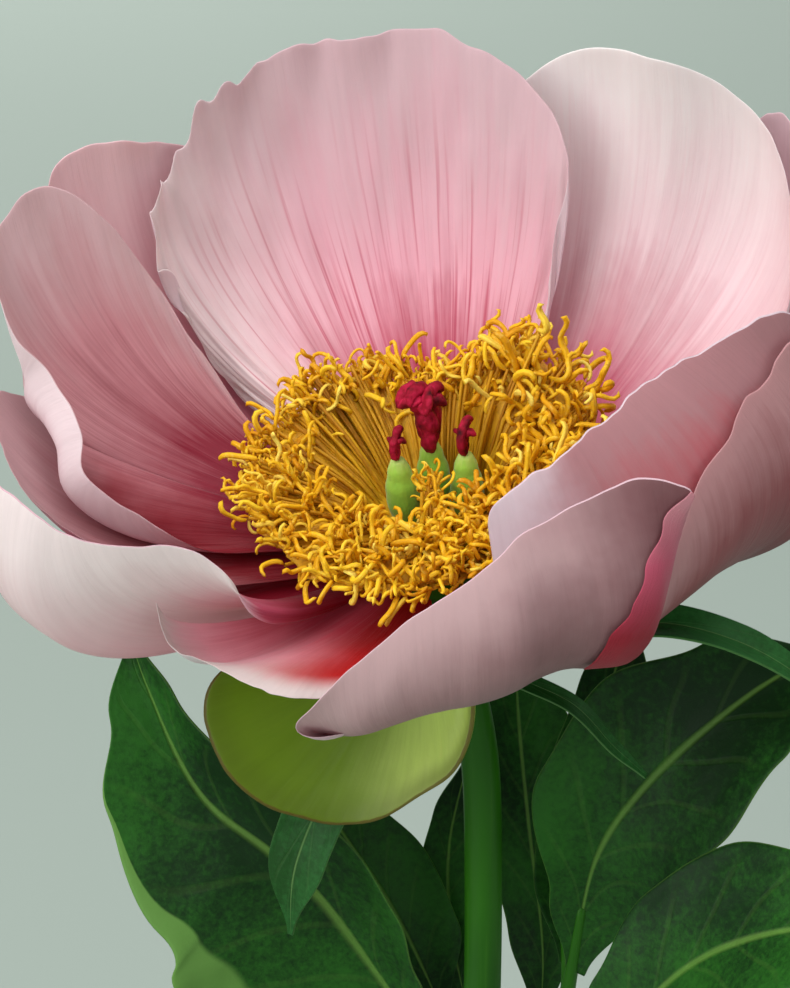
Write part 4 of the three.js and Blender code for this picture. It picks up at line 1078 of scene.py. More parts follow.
def ruffled(fan, look):
    """place(u, v) of a petal with its waves, creases and torn edge."""
    seed = look["seed"]
    wave, waves = look["ruffle"]
    crease = look.get("crease", PLAIN_CREASE)
    centre, width, torn = look.get("frill", NO_FRILL)

    def place(u, v):
        def ripple(across, lengthwise, shift):
            return noise.noise((u * across, v * lengthwise, seed + shift))

        frill = torn * hump(u, centre, width)
        ragged = 0
        for across, row, plain, extra in EDGE_LAYERS:
            ragged += noise.noise((u * across, row, seed)) * (plain + extra * frill)
        lift = wave * v**3 * ripple(waves, *BROAD_RIPPLE)
        for *layer, height, power in FRILL_LAYERS:
            lift += frill * v**power * ripple(*layer) * height
        for *layer, share, rate, deeper in CREASE_LAYERS:
            lift += crease * share * ripple(*layer) * smooth(v * rate) * (1 + deeper * frill)
        return BLOOM_FRAME @ (fan.at(u, v * (1 + ragged * v**4)) + fan.normal(u, v) * lift)

    return place


def petal_like(name, shape, half_claw, columns, rows, look):
    """A curved sheet whose faces look the way of its inner face, and the fan that it follows."""
    fan = Fan(**shape, half_claw=half_claw)
    piece = grid(name, columns, rows, ruffled(fan, look))
    if fan.turn < 0:
        edit(piece, (bpy.ops.mesh.flip_normals, {}))
    return piece, fan


def thicken(piece, thickness, inside, outside):
    """Gives the sheet a wall, with a finish for each face, and rounds it by one subdivision."""
    piece.data.materials.append(inside)
    piece.data.materials.append(outside)
    wall = {"thickness": thickness, "offset": 0.0, "use_quality_normals": True}
    modify(piece, "SOLIDIFY", **wall, material_offset=1, material_offset_rim=0)
    modify(piece, "SUBSURF", levels=1, render_levels=1)


# How each petal is ruffled and coloured: base, middle and rim, for the inner and the outer face. ruffle
# is height and number of its waves, and frill the middle, half width and strength of its torn stretch.
# reach is how far the base colour goes. A blush is a second colour on one face, with the shares of the
# petal's width between which it sets in, and 1 where it reaches the rim. On some petals it is the petal's
# own colour, and on others it paints light and shade, as said at each petal.
PETAL_LOOKS = {
    # petal_back: its inner blush paints light, nearly white, over the left part, and its greyer inner rim
    # colour is partly painted shade.
    "petal_back": {
        "seed": 1, "ruffle": (2.2, 7.0), "crease": 0.5, "frill": (0.3, 0.17, 1.0), "crumple": 0.3,
        "inside": ("#c02c54", "#f2b2c1", "#e0bec4"), "outside": ("#d08aa5", "#e6bccb", "#efd9df"),
        "streaks": (0.5, 0.3), "reach": 0.46, "lines": 0.65, "inside_blush": ("#fbf0ee", 0.5, 0.08, 1),
    },
    # petal_back_right: its inner blush makes the right part a deeper, darker pink, partly the petal's own
    # colour and partly painted shade.
    "petal_back_right": {
        "seed": 2, "ruffle": (1.2, 5.0), "crease": 0.2,
        "inside": ("#d56882", "#fde2e6", "#fff6f4"), "outside": ("#d78aa4", "#ecc6d0", "#f1dde1"),
        "streaks": (0.34, 0.2), "reach": 0.6, "lines": 0.2, "inside_blush": ("#eeb2ba", 0.6, 1.0, 1),
    },
    "petal_right_behind": {
        "seed": 3, "ruffle": (1.2, 5.0),
        "inside": ("#c04474", "#e6a3b4", "#f0d0d6"), "outside": ("#c9688c", "#dfa5b8", "#ecccd5"),
        "streaks": (0.4, 0.2), "reach": 0.6,
    },
    # petal_right: its outer blush paints light, a pale lavender, over the left part of the outer face, and
    # the dark maroon of the outer face's base is partly its own colour and partly painted shade.
    "petal_right": {
        "seed": 4, "ruffle": (0.7, 4.0), "crease": 0.14,
        "inside": ("#c23868", "#e0879f", "#eed7de"), "outside": ("#a03444", "#d0626c", "#bd888c"),
        "streaks": (0.3, 0.16), "reach": 0.74, "lines": 0.2, "outside_blush": ("#dfccd3", 0.64, 0.78, 1),
    },
    # petal_front: its outer colours are a dull grey-mauve, partly the petal's own and partly painted shade,
    # and its outer blush paints deeper shade over the right part of the outer face.
    "petal_front": {
        "seed": 5, "ruffle": (0.5, 4.0), "crease": 0.12,
        "inside": ("#a80d30", "#d65c80", "#ecc9d2"), "outside": ("#835a60", "#b28a8c", "#caa9aa"),
        "streaks": (0.3, 0.12), "reach": 0.7, "lines": 0.15, "outside_blush": ("#845257", 0.68, 0.4, 1),
    },
    "petal_front_left": {
        "seed": 6, "ruffle": (0.5, 4.0), "crease": 0.12,
        "inside": ("#a0102c", "#cc5877", "#e9c0cb"), "outside": ("#f2a2b0", "#f3dcdc", "#faeeec"),
        "streaks": (0.3, 0.12), "reach": 0.74, "lines": 0.15,
    },
    "petal_front_left_low": {
        "seed": 7, "ruffle": (0.4, 4.0), "crease": 0.14,
        "inside": ("#dc5068", "#f6b0bc", "#dccbc8"), "outside": ("#b77184", "#dcb9c2", "#eadde0"),
        "streaks": (0.2, 0.12), "reach": 0.66, "inside_blush": ("#b8080c", 0.2, 0.65, 0),
    },
    "petal_left": {
        "seed": 8, "ruffle": (1.0, 5.0),
        "inside": ("#8e1624", "#bf8288", "#d0a4a8"), "outside": ("#c08092", "#e0b6c1", "#ead3d9"),
        "streaks": (0.25, 0.2), "reach": 0.7,
    },
    "petal_left_back": {
        "seed": 9, "ruffle": (0.9, 5.0), "crease": 0.2,
        "inside": ("#8e1a32", "#d8989f", "#e2bcc0"), "outside": ("#c67c92", "#e6c0c8", "#f0dee0"),
        "streaks": (0.36, 0.2), "reach": 0.64, "lines": 0.25, "inside_blush": ("#8e1626", 0.28, 0.06, 0),
    },
    "petal_left_behind": {
        "seed": 10, "ruffle": (1.2, 5.0),
        "inside": ("#c45e74", "#efb0ba", "#f4ccd0"), "outside": ("#c67c92", "#e0b0bd", "#e9d0d6"),
        "streaks": (0.35, 0.2), "reach": 0.6,
    },
}
OUTER_FACE_SHOWS = ("petal_front", "petal_front_left", "petal_right", "petal_right_behind")

# A strip at the right of the front petal is turned back over its outer face: where its fold and its free
# edge lie across the petal, from low to high, the span of the ribs that it covers, how far the two stand
# off, and how much flatter it lies at the top.
TURNED_FOLD = (0.45, 0.442, 0.424, 0.41, 0.39, 0.374, 0.38)
TURNED_EDGE = (0.536, 0.534, 0.53, 0.506, 0.48, 0.441, 0.402)
TURNED_REACH = (0.47, 1.0)
TURNED_LIFT = (0.25, 0.8)
TURNED_PRESS = 0.6

# A second sheet lies on the outer face of the right petal: the share of the petal's width that it covers,
# how far it reaches up the ribs, how far it stands off at the claw and at its rim, and how deep its rim
# and waves go.
GUARD_SPAN = (0.0, 0.66)
GUARD_REACH = (0.98, 0.975, 0.955, 0.895, 0.825, 0.64)
GUARD_LIFT = (0.5, 1.5)
GUARD_RAGGED = 0.012
GUARD_WAVE = 0.5


def turned_strip(u, v):
    """Where the turned strip lies: across the fan, up its ribs, and how far it stands off."""
    across = lerp(along_smooth(TURNED_FOLD, v), along_smooth(TURNED_EDGE, v), u)
    lift = lerp(*TURNED_LIFT, math.sin(u * math.pi / 2)) * (1 - TURNED_PRESS * v**4)
    return across, lerp(*TURNED_REACH, v), lift


def guard_sheet(u, v):
    """The same for the second sheet of the right petal, with its own rim."""
    rim = along_smooth(GUARD_REACH, u) + GUARD_RAGGED * noise.noise((u * 14, 0, 3))
    lift = lerp(*GUARD_LIFT, v) + GUARD_WAVE * v**3 * noise.noise((u * 6, v * 2, 8))
    return lerp(*GUARD_SPAN, u), v * rim, lift


# The sheets on a petal's outer face: name, where it lies, columns and rows, colours and streaks.
OUTER_SHEETS = {
    "petal_front": ("strip", turned_strip, 12, 40, ("#a80c2c", "#d9607c", "#dd94a0"), 0.1),
    # The right petal's sheet is darker than its outer face, partly its own colour and partly painted shade
    # at the lower right.
    "petal_right": ("guard", guard_sheet, 48, 36, ("#6a161e", "#a8585c", "#cc9698"), 0.16),
}


def outer_sheet(fan, where, columns, rows):
    def place(u, v):
        across, up, lift = where(u, v)
        return BLOOM_FRAME @ (fan.at(across, up) - fan.normal(across, up) * lift)

    return grid("outer_sheet", columns, rows, place)


def make_petals(thickness):
    for node, shape in PETALS.items():
        look = PETAL_LOOKS[node]
        columns = TORN_PETAL_COLUMNS if "frill" in look else PETAL_COLUMNS
        piece, fan = petal_like("peony_" + node, shape, PETAL_CLAW, columns, PETAL_ROWS, look)
        inside, outside = (
            petal_finish(f"{node} {side}", look[side], look, streaks, look.get(f"{side}_blush"))
            for side, streaks in zip(("inside", "outside"), look["streaks"])
        )
        thicken(piece, thickness, inside, outside)
        if node in OUTER_SHEETS:
            name, where, columns, rows, colours, streaks = OUTER_SHEETS[node]
            sheet = outer_sheet(fan, where, columns, rows)
            face = petal_finish(f"{node} {name}", colours, look, streaks)
            thicken(sheet, thickness, face, face)
            piece = join("peony_" + node, [piece, sheet])
        settle(piece, "petal_outside" if node in OUTER_FACE_SHOWS else "petal_inside", node)


SEPAL_LOOK = {"seed": 20, "ruffle": (0.4, 4.0), "crease": 0.1}


def make_sepals(thickness):
    green = sepal_finish()
    for node, shape in SEPALS.items():
        piece, _ = petal_like("peony_" + node, shape, SEPAL_CLAW, SEPAL_COLUMNS, SEPAL_ROWS, SEPAL_LOOK)
        thicken(piece, thickness, green, green)
        settle(piece, "sepal_green", node)


# ---------------------------------------------------------------- leaves and bracts

BLADE_ARCH = 0.35  # the lower, the sooner a blade's halves rise beside the midrib
# Waves of a blade: height as a share of the half width, how closely they keep to the margin, waves along
# and across the blade, and the shift of the seed.
BLADE_WAVES = ((0.05, 3, 7, 2, 0), (0.012, 0, 16, 7, 4))
# Colours of the dark parts, the light parts and the veins, the number of side veins, and the least
# roughness.
LEAF_UNDERSIDE = ("#3f7038", "#5c9048", "#a5c67e", 7.0, 0.5)
BRACT_UPPER = ("#1a4a16", "#2f7232", "#7fa863", 5.0, 0.4)
BRACT_UNDERSIDE = ("#2f6f3a", "#4d8a4c", "#9bbf7a", 5.0, 0.5)
LEAF_UPPER = ("#7fae4c", 7.0, 0.42)  # its dark and light colours are settings
TURNED_MARGIN = 0.2


def blade(name, shape, thickness, upper, under, to_world=PLANT_FRAME, seed=0):
    """A leaf blade that hangs on its midrib, arched across, with waved margins."""
    line = Line(shape["midrib"])
    facing = Vector(shape["face"])

    def place(u, v):
        share = 2 * u - 1
        point, tangent = line.evenly(v), line.tangent(v)
        rise = (facing - tangent * facing.dot(tangent)).normalized()
        half = along_smooth(shape["left"] if share < 0 else shape["right"], v)
        width = share * half
        lift = math.radians(shape["fold"][share > 0])
        up = abs(width) * math.sin(lift) * abs(share) ** BLADE_ARCH
        for height, power, lengthwise, across, shift in BLADE_WAVES:
            wave = noise.noise((v * lengthwise, share * across, seed + shift))
            up += height * half * abs(share) ** power * wave
        sideways = tangent.cross(rise) * (width * math.cos(lift))
        return to_world @ (point + sideways + rise * up)

    piece = grid(name, LEAF_COLUMNS, LEAF_ROWS, place)
    middle = piece.data.polygons[len(piece.data.polygons) // 2]
    if middle.normal.dot(to_world.to_3x3() @ facing) < 0:
        edit(piece, (bpy.ops.mesh.flip_normals, {}))
    thicken(piece, thickness, upper, under)
    return piece


def leafstalk(name, points, green):
    def radius(v):
        return lerp(PETIOLE_RADIUS, PETIOLE_TAPER * PETIOLE_RADIUS, v) * rounded_ends(v, 40)

    piece = tube(name, Line(points), radius, around=14, steps=24)
    piece.data.materials.append(green)
    return piece


def make_leaves(thickness, dark, light):
    upper = leaf_finish("leaf upper", dark, light, *LEAF_UPPER)
    turned = leaf_finish("leaf upper, margin turned", dark, light, *LEAF_UPPER, TURNED_MARGIN)
    under = leaf_finish("leaf under", *LEAF_UNDERSIDE)
    stalk_green = stem_finish()
    for node, leaf in LEAVES.items():
        parts = []
        for i, shape in enumerate(leaf["leaflets"]):
            face = turned if "turned" in shape else upper
            parts.append(blade(f"{node}_leaflet", shape, thickness, face, under, seed=i + len(node)))
        parts += [leafstalk(f"{node}_stalk", points, stalk_green) for points in leaf["stalks"]]
        settle(join("peony_" + node, parts), "leaf_green", node)


def make_bracts(thickness):
    upper = leaf_finish("bract upper", *BRACT_UPPER)
    under = leaf_finish("bract under", *BRACT_UNDERSIDE)
    for seed, (node, shape) in enumerate(BRACTS.items()):
        piece = blade("peony_" + node, shape, thickness, upper, under, BLOOM_FRAME, seed)
        settle(piece, "bract_green", node)


# ---------------------------------------------------------------- stem


def make_stem(radius):
    """The stem with a swelling at each leafstalk, and the receptacle that carries the bloom."""
    green = stem_finish()
    length = STEM_LINE[-1][2] - STEM_LINE[0][2]

    def girth(v):
        height = STEM_LINE[0][2] + v * length
        swelling = sum(hump(height, joint, JOINT_WIDTH) for joint in STEM_JOINTS)
        return (radius / MM + JOINT_SWELLING * swelling) * rounded_ends(v, 400)

    stalk = tube("stem_stalk", Line(STEM_LINE), girth, around=28, steps=120)
    head = spun("stem_head", RECEPTACLE, RECEPTACLE_SIDES, BLOOM_FRAME)
    for piece in (stalk, head):
        piece.data.materials.append(green)
    settle(join("peony_stem", [stalk, head]), "stem_green", "stem")


# ---------------------------------------------------------------- stamens


def round_bloom(values, azimuth):
    return along_smooth((*values, values[0]), azimuth % 360 / 360)


def own_shade(piece, value):
    """Gives every point of the mesh the same number, for its finish."""
    shades = piece.data.attributes.new("own_shade", "FLOAT", "POINT")
    shades.data.foreach_set("value", [value] * len(piece.data.vertices))


def curled_anther(name, girth, hook, twist, wiggle):
    """An anther one unit long, with two lobes, that bends over by hook degrees."""
    points = [Vector((0, 0, 0))]
    for i in range(ANTHER_BENDS):
        share = (i + 0.5) / ANTHER_BENDS
        bend = math.radians(hook * share**HOOK_POWER + wiggle * math.sin(share * WIGGLE_RATE))
        turn = math.radians(twist * share)
        ahead = Vector((math.sin(bend) * math.cos(turn), math.sin(bend) * math.sin(turn), math.cos(bend)))
        points.append(points[-1] + ahead / ANTHER_BENDS)

    def radius(v):
        return girth * rounded_ends(v, 6)

    def two_lobes(angle):
        return 1 - LOBE_DEPTH + LOBE_DEPTH * math.cos(2 * angle)

    return tube(name, Line(points), radius, around=6, steps=10, to_world=Matrix(), section=two_lobes)


def thread(name):
    """A filament along Z that bows out along X."""
    shares = [i / FILAMENT_STEPS for i in range(FILAMENT_STEPS + 1)]
    line = Line([(FILAMENT_BOW * math.sin(math.pi * at), 0, FILAMENT_LENGTH * at) for at in shares])
    return tube(name, line, lambda v: FILAMENT_RADIUS, around=5, steps=FILAMENT_STEPS, to_world=Matrix())


def placed_copy(model, name, matrix, value):
    copy = bpy.data.objects.new(name, model.data.copy())
    bpy.context.collection.objects.link(copy)
    copy.data.transform(matrix)
    own_shade(copy, value)
    return copy


def axes(origin, x, y, z):
    """The matrix that carries the unit axes to x, y and z at the origin."""
    return Matrix.Translation(origin) @ Matrix((x, y, z)).transposed().to_4x4()


def ring_height(azimuth, spread):
    """Height of the stamens' ring between its inner edge, at spread 0, and its outer edge, at 1."""
    front = (1 - math.sin(math.radians(azimuth))) / 2
    share = lerp(along(RING_BACK, spread), along(RING_FRONT, spread), front)
    return share * round_bloom(ANTHER_HEIGHT, azimuth)


def ring_radius(azimuth, spread):
    return lerp(round_bloom(ANTHER_INNER, azimuth), RING_EDGE, spread) * round_bloom(ANTHER_REACH, azimuth)


def filament_mound(name):
    """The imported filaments, as one ring under the anthers with a disc round the carpels."""
    disc = RECEPTACLE_TOP + DISC_RISE

    def place(u, v):
        azimuth = 360 * u
        reach, height = round_bloom(ANTHER_REACH, azimuth), round_bloom(ANTHER_HEIGHT, azimuth)
        crown = [k / MOUND_STEPS for k in range(MOUND_STEPS + 1)]
        section = [
            (0, disc),
            (STAMEN_ROOT[0], disc + DISC_DISH),
            *((ring_radius(azimuth, k), ring_height(azimuth, k) * MOUND_SHARE) for k in crown),
            (UNDERSIDE_REACH * reach, UNDERSIDE_HEIGHT * height),
            (STAMEN_ROOT[1], RECEPTACLE_TOP),
            (0, RECEPTACLE_TOP),
        ]
        radii, heights = zip(*section)
        angle = 2 * math.pi * u
        ridges = noise.noise((math.cos(angle) * RIDGE_RATE, math.sin(angle) * RIDGE_RATE, v * 3))
        ridge = RIDGE_LEVEL + RIDGE_DEPTH * ridges
        return BLOOM_FRAME @ polar(azimuth, along(radii, v) * ridge, along(heights, v))

    piece = grid(name, *MOUND_GRID, place)
    close_up(piece)
    return piece


class Stamens:
    """Places copies of a few anthers and of one filament, in random order from one seed."""

    def __init__(self, length, radius):
        self.draw = random.Random(STAMEN_SEED)
        self.length = length / MM
        self.anthers = [curled_anther("anther", radius / length, *curl) for curl in ANTHER_CURLS]
        self.filament = thread("filament")
        self.ochre = filament_finish()
        gold = anther_finish()
        for model in self.anthers:
            model.data.materials.append(gold)
        self.filament.data.materials.append(self.ochre)
        self.parts = []

    def stand(self, foot, top, ahead, stretch, curl=None):
        """One stamen from its foot to its top, where the anther sets out in the direction ahead."""
        draw = self.draw
        model = draw.choice(self.anthers) if curl is None else self.anthers[curl]
        face = Matrix.Rotation(draw.uniform(0, 2 * math.pi), 3, ahead) @ ahead.orthogonal().normalized()
        size = self.length * stretch
        pose = axes(top, face * size, ahead.cross(face) * size, ahead * size)
        value = min(max(draw.gauss(*SHADE_SPREAD), 0), 1)
        self.parts.append(placed_copy(model, "anther", BLOOM_FRAME @ pose, value))
        rise = top - foot
        bow = (UP - rise * UP.dot(rise) / rise.length_squared).normalized()
        hang = axes(foot, bow, rise.normalized().cross(bow), rise / FILAMENT_LENGTH)
        value *= FILAMENT_SHADE
        self.parts.append(placed_copy(self.filament, "filament", BLOOM_FRAME @ hang, value))

    def random_way(self, azimuth, lean, scatter):
        """A direction that leans outward by about lean degrees."""
        tilt = math.radians(lean)
        way = polar(azimuth, math.sin(tilt), math.cos(tilt))
        return (way + Vector([self.draw.uniform(-scatter, scatter) for _ in range(3)])).normalized()

    def joined(self, name):
        """All the stamens as one piece, once the models that they are copies of are gone."""
        for model in (*self.anthers, self.filament):
            bpy.data.objects.remove(model)
        return join(name, self.parts)


def make_stamens(count, length, radius):
    stamens = Stamens(length, radius)
    draw = stamens.draw
    mound = filament_mound("mound")
    mound.data.materials.append(stamens.ochre)
    own_shade(mound, MOUND_SHADE)
    stamens.parts.append(mound)
    middle, half, extra = RIGHT_TUFT
    for i in range(count):
        even = i * GOLDEN_ANGLE + draw.uniform(-AZIMUTH_SCATTER, AZIMUTH_SCATTER)
        azimuth = even - math.degrees(FRONT_CROWD * math.cos(math.radians(even)))
        inner = round_bloom(ANTHER_INNER, azimuth) / RING_EDGE
        spread = (math.sqrt(lerp(inner**2, 1, draw.random())) - inner) / (1 - inner)
        height = ring_height(azimuth, spread) * draw.uniform(*HEIGHT_SCATTER)
        out = ring_radius(azimuth, spread) + draw.uniform(-RADIUS_SCATTER, RADIUS_SCATTER)
        foot = polar(azimuth, lerp(*STAMEN_ROOT, spread), RECEPTACLE_TOP)
        tuft = lerp(1, extra, hump((azimuth - middle + 180) % 360 - 180, 0, half))
        ahead = stamens.random_way(azimuth, lerp(*ANTHER_LEAN, spread), WAY_SCATTER)
        stamens.stand(foot, polar(azimuth, out, height), ahead, tuft * draw.uniform(*LENGTH_SCATTER))
    for azimuth, out, height, tall, lean, curl in TALL_ANTHERS:
        foot = polar(azimuth, STAMEN_ROOT[0], RECEPTACLE_TOP)
        ahead = stamens.random_way(azimuth, lean, TALL_WAY_SCATTER)
        stamens.stand(foot, polar(azimuth, out, height), ahead, tall * MM / length, curl)
    inner_count, *spans = INNER_ANTHERS
    for _ in range(inner_count):
        azimuth, out, height = (draw.uniform(*span) for span in spans)
        foot = polar(azimuth, STAMEN_ROOT[0] * INNER_ROOT, RECEPTACLE_TOP)
        ahead = stamens.random_way(azimuth, INNER_LEAN, INNER_WAY_SCATTER)
        stamens.stand(foot, polar(azimuth, out, height), ahead, draw.uniform(*INNER_LENGTH))
    settle(stamens.joined("peony_stamens"), "anther_gold", "stamens")


# ---------------------------------------------------------------- carpels


def carpel_body(line):
    def belly(v):
        return CARPEL_RADIUS * along_smooth(CARPEL_GIRTH, v) * rounded_ends(v, 30)

    return tube("carpel_body", line, belly, around=24, steps=30, to_world=BLOOM_FRAME)


def crest_lobe(root, turn, scale, seed, azimuth):
    """A waved lobe of the crest, flat like a ribbon, that curls towards turn."""
    ridge = Line(root + polar(turn, out * scale, up * scale) for out, up in CREST_LINE)

    def lip(v):
        wave = 1 + CREST_WAVE * noise.noise((v * CREST_WAVES, seed, azimuth))
        return scale * along_smooth(CREST_GIRTH, v) * wave * rounded_ends(v, 8)

    def ribbon(angle):
        return 0.62 + 0.38 * math.cos(2 * angle) + 0.12 * math.cos(5 * angle)

    return tube("carpel_crest", ridge, lip, around=20, steps=24, to_world=BLOOM_FRAME, section=ribbon)


def make_carpels():
    lime, crimson = carpel_finish(), crest_finish()
    for node, (azimuth, crest, turn) in CARPELS.items():
        line = Line(
            polar(azimuth, out, lerp(CARPEL_FOOT, CARPEL_NECK, i / (len(CARPEL_LINE) - 1)))
            for i, out in enumerate(CARPEL_LINE)
        )
        parts = [carpel_body(line)]
        parts[0].data.materials.append(lime)
        lobes = LARGE_CREST_LOBES if node == "carpel_back" else CREST_LOBES
        for seed, (swing, size, rise) in enumerate(lobes):
            root = line.points[-1] + UP * rise
            parts.append(crest_lobe(root, turn + swing, crest * size, seed, azimuth))
            parts[-1].data.materials.append(crimson)
        settle(join("peony_" + node, parts), "carpel_lime", node)


# ---------------------------------------------------------------- vase and water


def upright(points):
    return Line([(radius, 0, height) for radius, height in points])


def vase_profile():
    """The vase's section from the axis round to the axis, and the inner face by itself."""
    outside, lip = upright(VASE_OUTSIDE), upright(VASE_LIP)
    skin = [outside.evenly(i / VASE_STEPS) for i in range(VASE_STEPS + 1)]
    rolled = [lip.evenly(i / LIP_STEPS) for i in range(1, LIP_STEPS)]
    low, high = VASE_INSIDE
    inner = [(point.x - VASE_WALL, point.z) for point in skin if low < point.z < high]
    return [
        (0, 0),
        *((point.x, point.z) for point in skin + rolled),
        *reversed(inner),
        (VASE_INNER_FLOOR, VASE_FLOOR),
        (0, VASE_FLOOR),
    ], inner


def make_vase(colour):
    profile, _ = vase_profile()
    piece = spun("bud_vase", profile, VASE_SIDES)
    piece.data.materials.append(glaze_finish(colour))
    settle(piece, "vase_glaze", "vase")


def make_water():
    """The water, drawn up a little at the wall, with a plain hole that the stem stands in."""
    _, inner = vase_profile()
    wetted = [(r - WATER_GAP, z) for r, z in inner if z < WATER_LEVEL]
    wall = wetted[-1][0]
    section = [
        (0, VASE_FLOOR + WATER_GAP),
        (VASE_INNER_FLOOR - WATER_GAP, VASE_FLOOR + WATER_GAP),
        *wetted,
        *((wall - back, WATER_LEVEL + share * MENISCUS) for back, share in MENISCUS_CURVE),
        (0, WATER_LEVEL),
    ]
    piece = spun("vase_water", section, VASE_SIDES)
    foot, bend, neck = (Vector(point) for point in STEM_LINE[:3])
    ends = foot.lerp(bend, HOLE_SPAN[0]), bend.lerp(neck, HOLE_SPAN[1])
    hole_line = Line([ends[0], bend, ends[1]])
    hole = tube("stem_hole", hole_line, lambda v: STEM_HOLE_RADIUS * (0 < v < 1), around=32, steps=20)
    modify(piece, "BOOLEAN", operation="DIFFERENCE", solver="EXACT", object=hole)
    bpy.data.objects.remove(hole)
    piece.data.materials.clear()
    piece.data.materials.append(water_finish())
    settle(piece, "water", "water")


# ---------------------------------------------------------------- stage

CAMERA_PLACE = Vector((-7.03, -544.9, 541.3)) * MM
CAMERA_PITCH = math.radians(66)
CAMERA_LENS = 139.9
CAMERA_NEAR = 0.01
FLOOR_SIZE = 12.0
BLOOM_MIDDLE = Vector((0, 0, 300)) * MM

# Each lamp: where it stands and where it points from the bloom, in metres, the side of its square, and
# its share of the light.
LAMPS = {
    "key": ((-0.72, -0.55, 1.1), (0, 0, 0), 1.3, 0.92),
    "top": ((0.3, -0.2, 1.15), (0, 0, 0), 0.9, 0.32),
    "fill": ((0.9, -0.9, 0.1), (0, 0, 0), 1.0, 0.13),
    "side": ((-1.0, -0.75, 0.1), (0, 0, 0), 0.9, 0.26),
    "backdrop": ((-0.45, 2.1, 0.9), (-0.5, 1.95, -0.3), 1.2, 0.6),
}
BACKDROP_SPREAD = math.radians(120)


def make_lamps(strength, colour):
    for name, (place, aim, size, share) in LAMPS.items():
        bpy.ops.object.light_add(type="AREA", location=BLOOM_MIDDLE + Vector(place))
        lamp = bpy.context.object
        lamp.name = f"lamp_{name}"
        lamp.data.size = size
        lamp.data.energy = strength * share
        lamp.data.color = colour
        lamp.rotation_euler = (Vector(aim) - Vector(place)).to_track_quat("-Z", "Y").to_euler()
        if name == "backdrop":
            lamp.data.spread = BACKDROP_SPREAD


def make_world(strength, colour):
    world = bpy.data.worlds.new("studio")
    bpy.context.scene.world = world
    world.use_nodes = True
    sky = world.node_tree.nodes["Background"]
    sky.inputs["Color"].default_value = opaque(colour)
    sky.inputs["Strength"].default_value = strength


def make_camera():
    bpy.ops.object.camera_add(location=CAMERA_PLACE, rotation=(CAMERA_PITCH, 0, 0))
    camera = bpy.context.object
    camera.name = "photo_camera"
    camera.data.lens = CAMERA_LENS
    camera.data.clip_start = CAMERA_NEAR
    bpy.context.scene.camera = camera


def keep_true_colours():
    """Shows colours as they are, without a film look."""
    bpy.context.scene.view_settings.view_transform = "Standard"


def make_floor(colour):
    bpy.ops.mesh.primitive_plane_add(size=FLOOR_SIZE)
    floor = bpy.context.object
    floor.name = "floor"
    floor.data.materials.append(floor_finish(colour))


# ---------------------------------------------------------------- settings and operators


def colour_setting(name, description, hex_colour):
    return bpy.props.FloatVectorProperty(
        name=name, description=description, subtype="COLOR", min=0, max=1, default=shade(hex_colour)[:3]
    )


def length_setting(name, description, millimetres):
    return bpy.props.FloatProperty(
        name=name, description=description, subtype="DISTANCE", unit="LENGTH", default=millimetres * MM
    )


class PeonyFlowerSettings(bpy.types.PropertyGroup):
    """Sizes and colours of the flower."""

    petal_thickness: length_setting("Petal thickness", "Thickness of a petal", 0.16)
    sepal_thickness: length_setting("Sepal thickness", "Thickness of a sepal", 0.9)
    leaf_thickness: length_setting("Leaf thickness", "Thickness of a leaf or bract", 0.5)
    stem_radius: length_setting("Stem radius", "Radius of the stem between its joints", 3.1)
    anther_length: length_setting("Anther length", "Length of an anther along its curl", 6.4)
    anther_radius: length_setting("Anther radius", "Radius of an anther", 0.4)
    anther_count: bpy.props.IntProperty(
        name="Anthers", description="How many anthers stand round the carpels", default=1050, min=1
    )
    leaf_dark: colour_setting("Leaf, dark", "Darker green of a leaf's upper side", "#0a2e0a")
    leaf_light: colour_setting("Leaf, light", "Lighter green of a leaf's upper side", "#27651a")


class PeonyStudioSettings(bpy.types.PropertyGroup):
    """The vase's colour and the light."""

    glaze: colour_setting("Glaze", "Colour of the vase", "#e9e4d8")
    floor: colour_setting("Floor", "Colour of the floor", "#a6b4a9")
    lamp_power: bpy.props.FloatProperty(
        name="Lamps", description="Power of the key lamp", default=20.0, min=0, unit="POWER"
    )
    lamp_colour: colour_setting("Lamp colour", "Colour of every lamp", "#ffffff")
    sky: colour_setting("Sky", "Colour of the light from all round", "#e2e6e8")
    sky_strength: bpy.props.FloatProperty(
        name="Sky strength", description="Strength of the light from all round", default=0.36, min=0
    )


class PeonyOperator:
    """What the operators share: each can be undone."""

    bl_options = {"REGISTER", "UNDO"}


class PEONY_OT_petals(PeonyOperator, bpy.types.Operator):
    """Builds the ten petals"""

    bl_idname = "peony.petals"
    bl_label = "Petals"

    def execute(self, context):
        make_petals(context.scene.peony_flower.petal_thickness)
        return {"FINISHED"}


class PEONY_OT_sepals(PeonyOperator, bpy.types.Operator):
    """Builds the three sepals under the bloom"""

    bl_idname = "peony.sepals"
    bl_label = "Sepals"

    def execute(self, context):
        make_sepals(context.scene.peony_flower.sepal_thickness)
        return {"FINISHED"}


class PEONY_OT_bracts(PeonyOperator, bpy.types.Operator):
    """Builds the four narrow bracts"""

    bl_idname = "peony.bracts"
    bl_label = "Bracts"

    def execute(self, context):
        make_bracts(context.scene.peony_flower.leaf_thickness)
        return {"FINISHED"}


class PEONY_OT_leaves(PeonyOperator, bpy.types.Operator):
    """Builds the three leaves, each with three leaflets"""

    bl_idname = "peony.leaves"
    bl_label = "Leaves"

    def execute(self, context):
        flower = context.scene.peony_flower
        make_leaves(flower.leaf_thickness, opaque(flower.leaf_dark), opaque(flower.leaf_light))
        return {"FINISHED"}


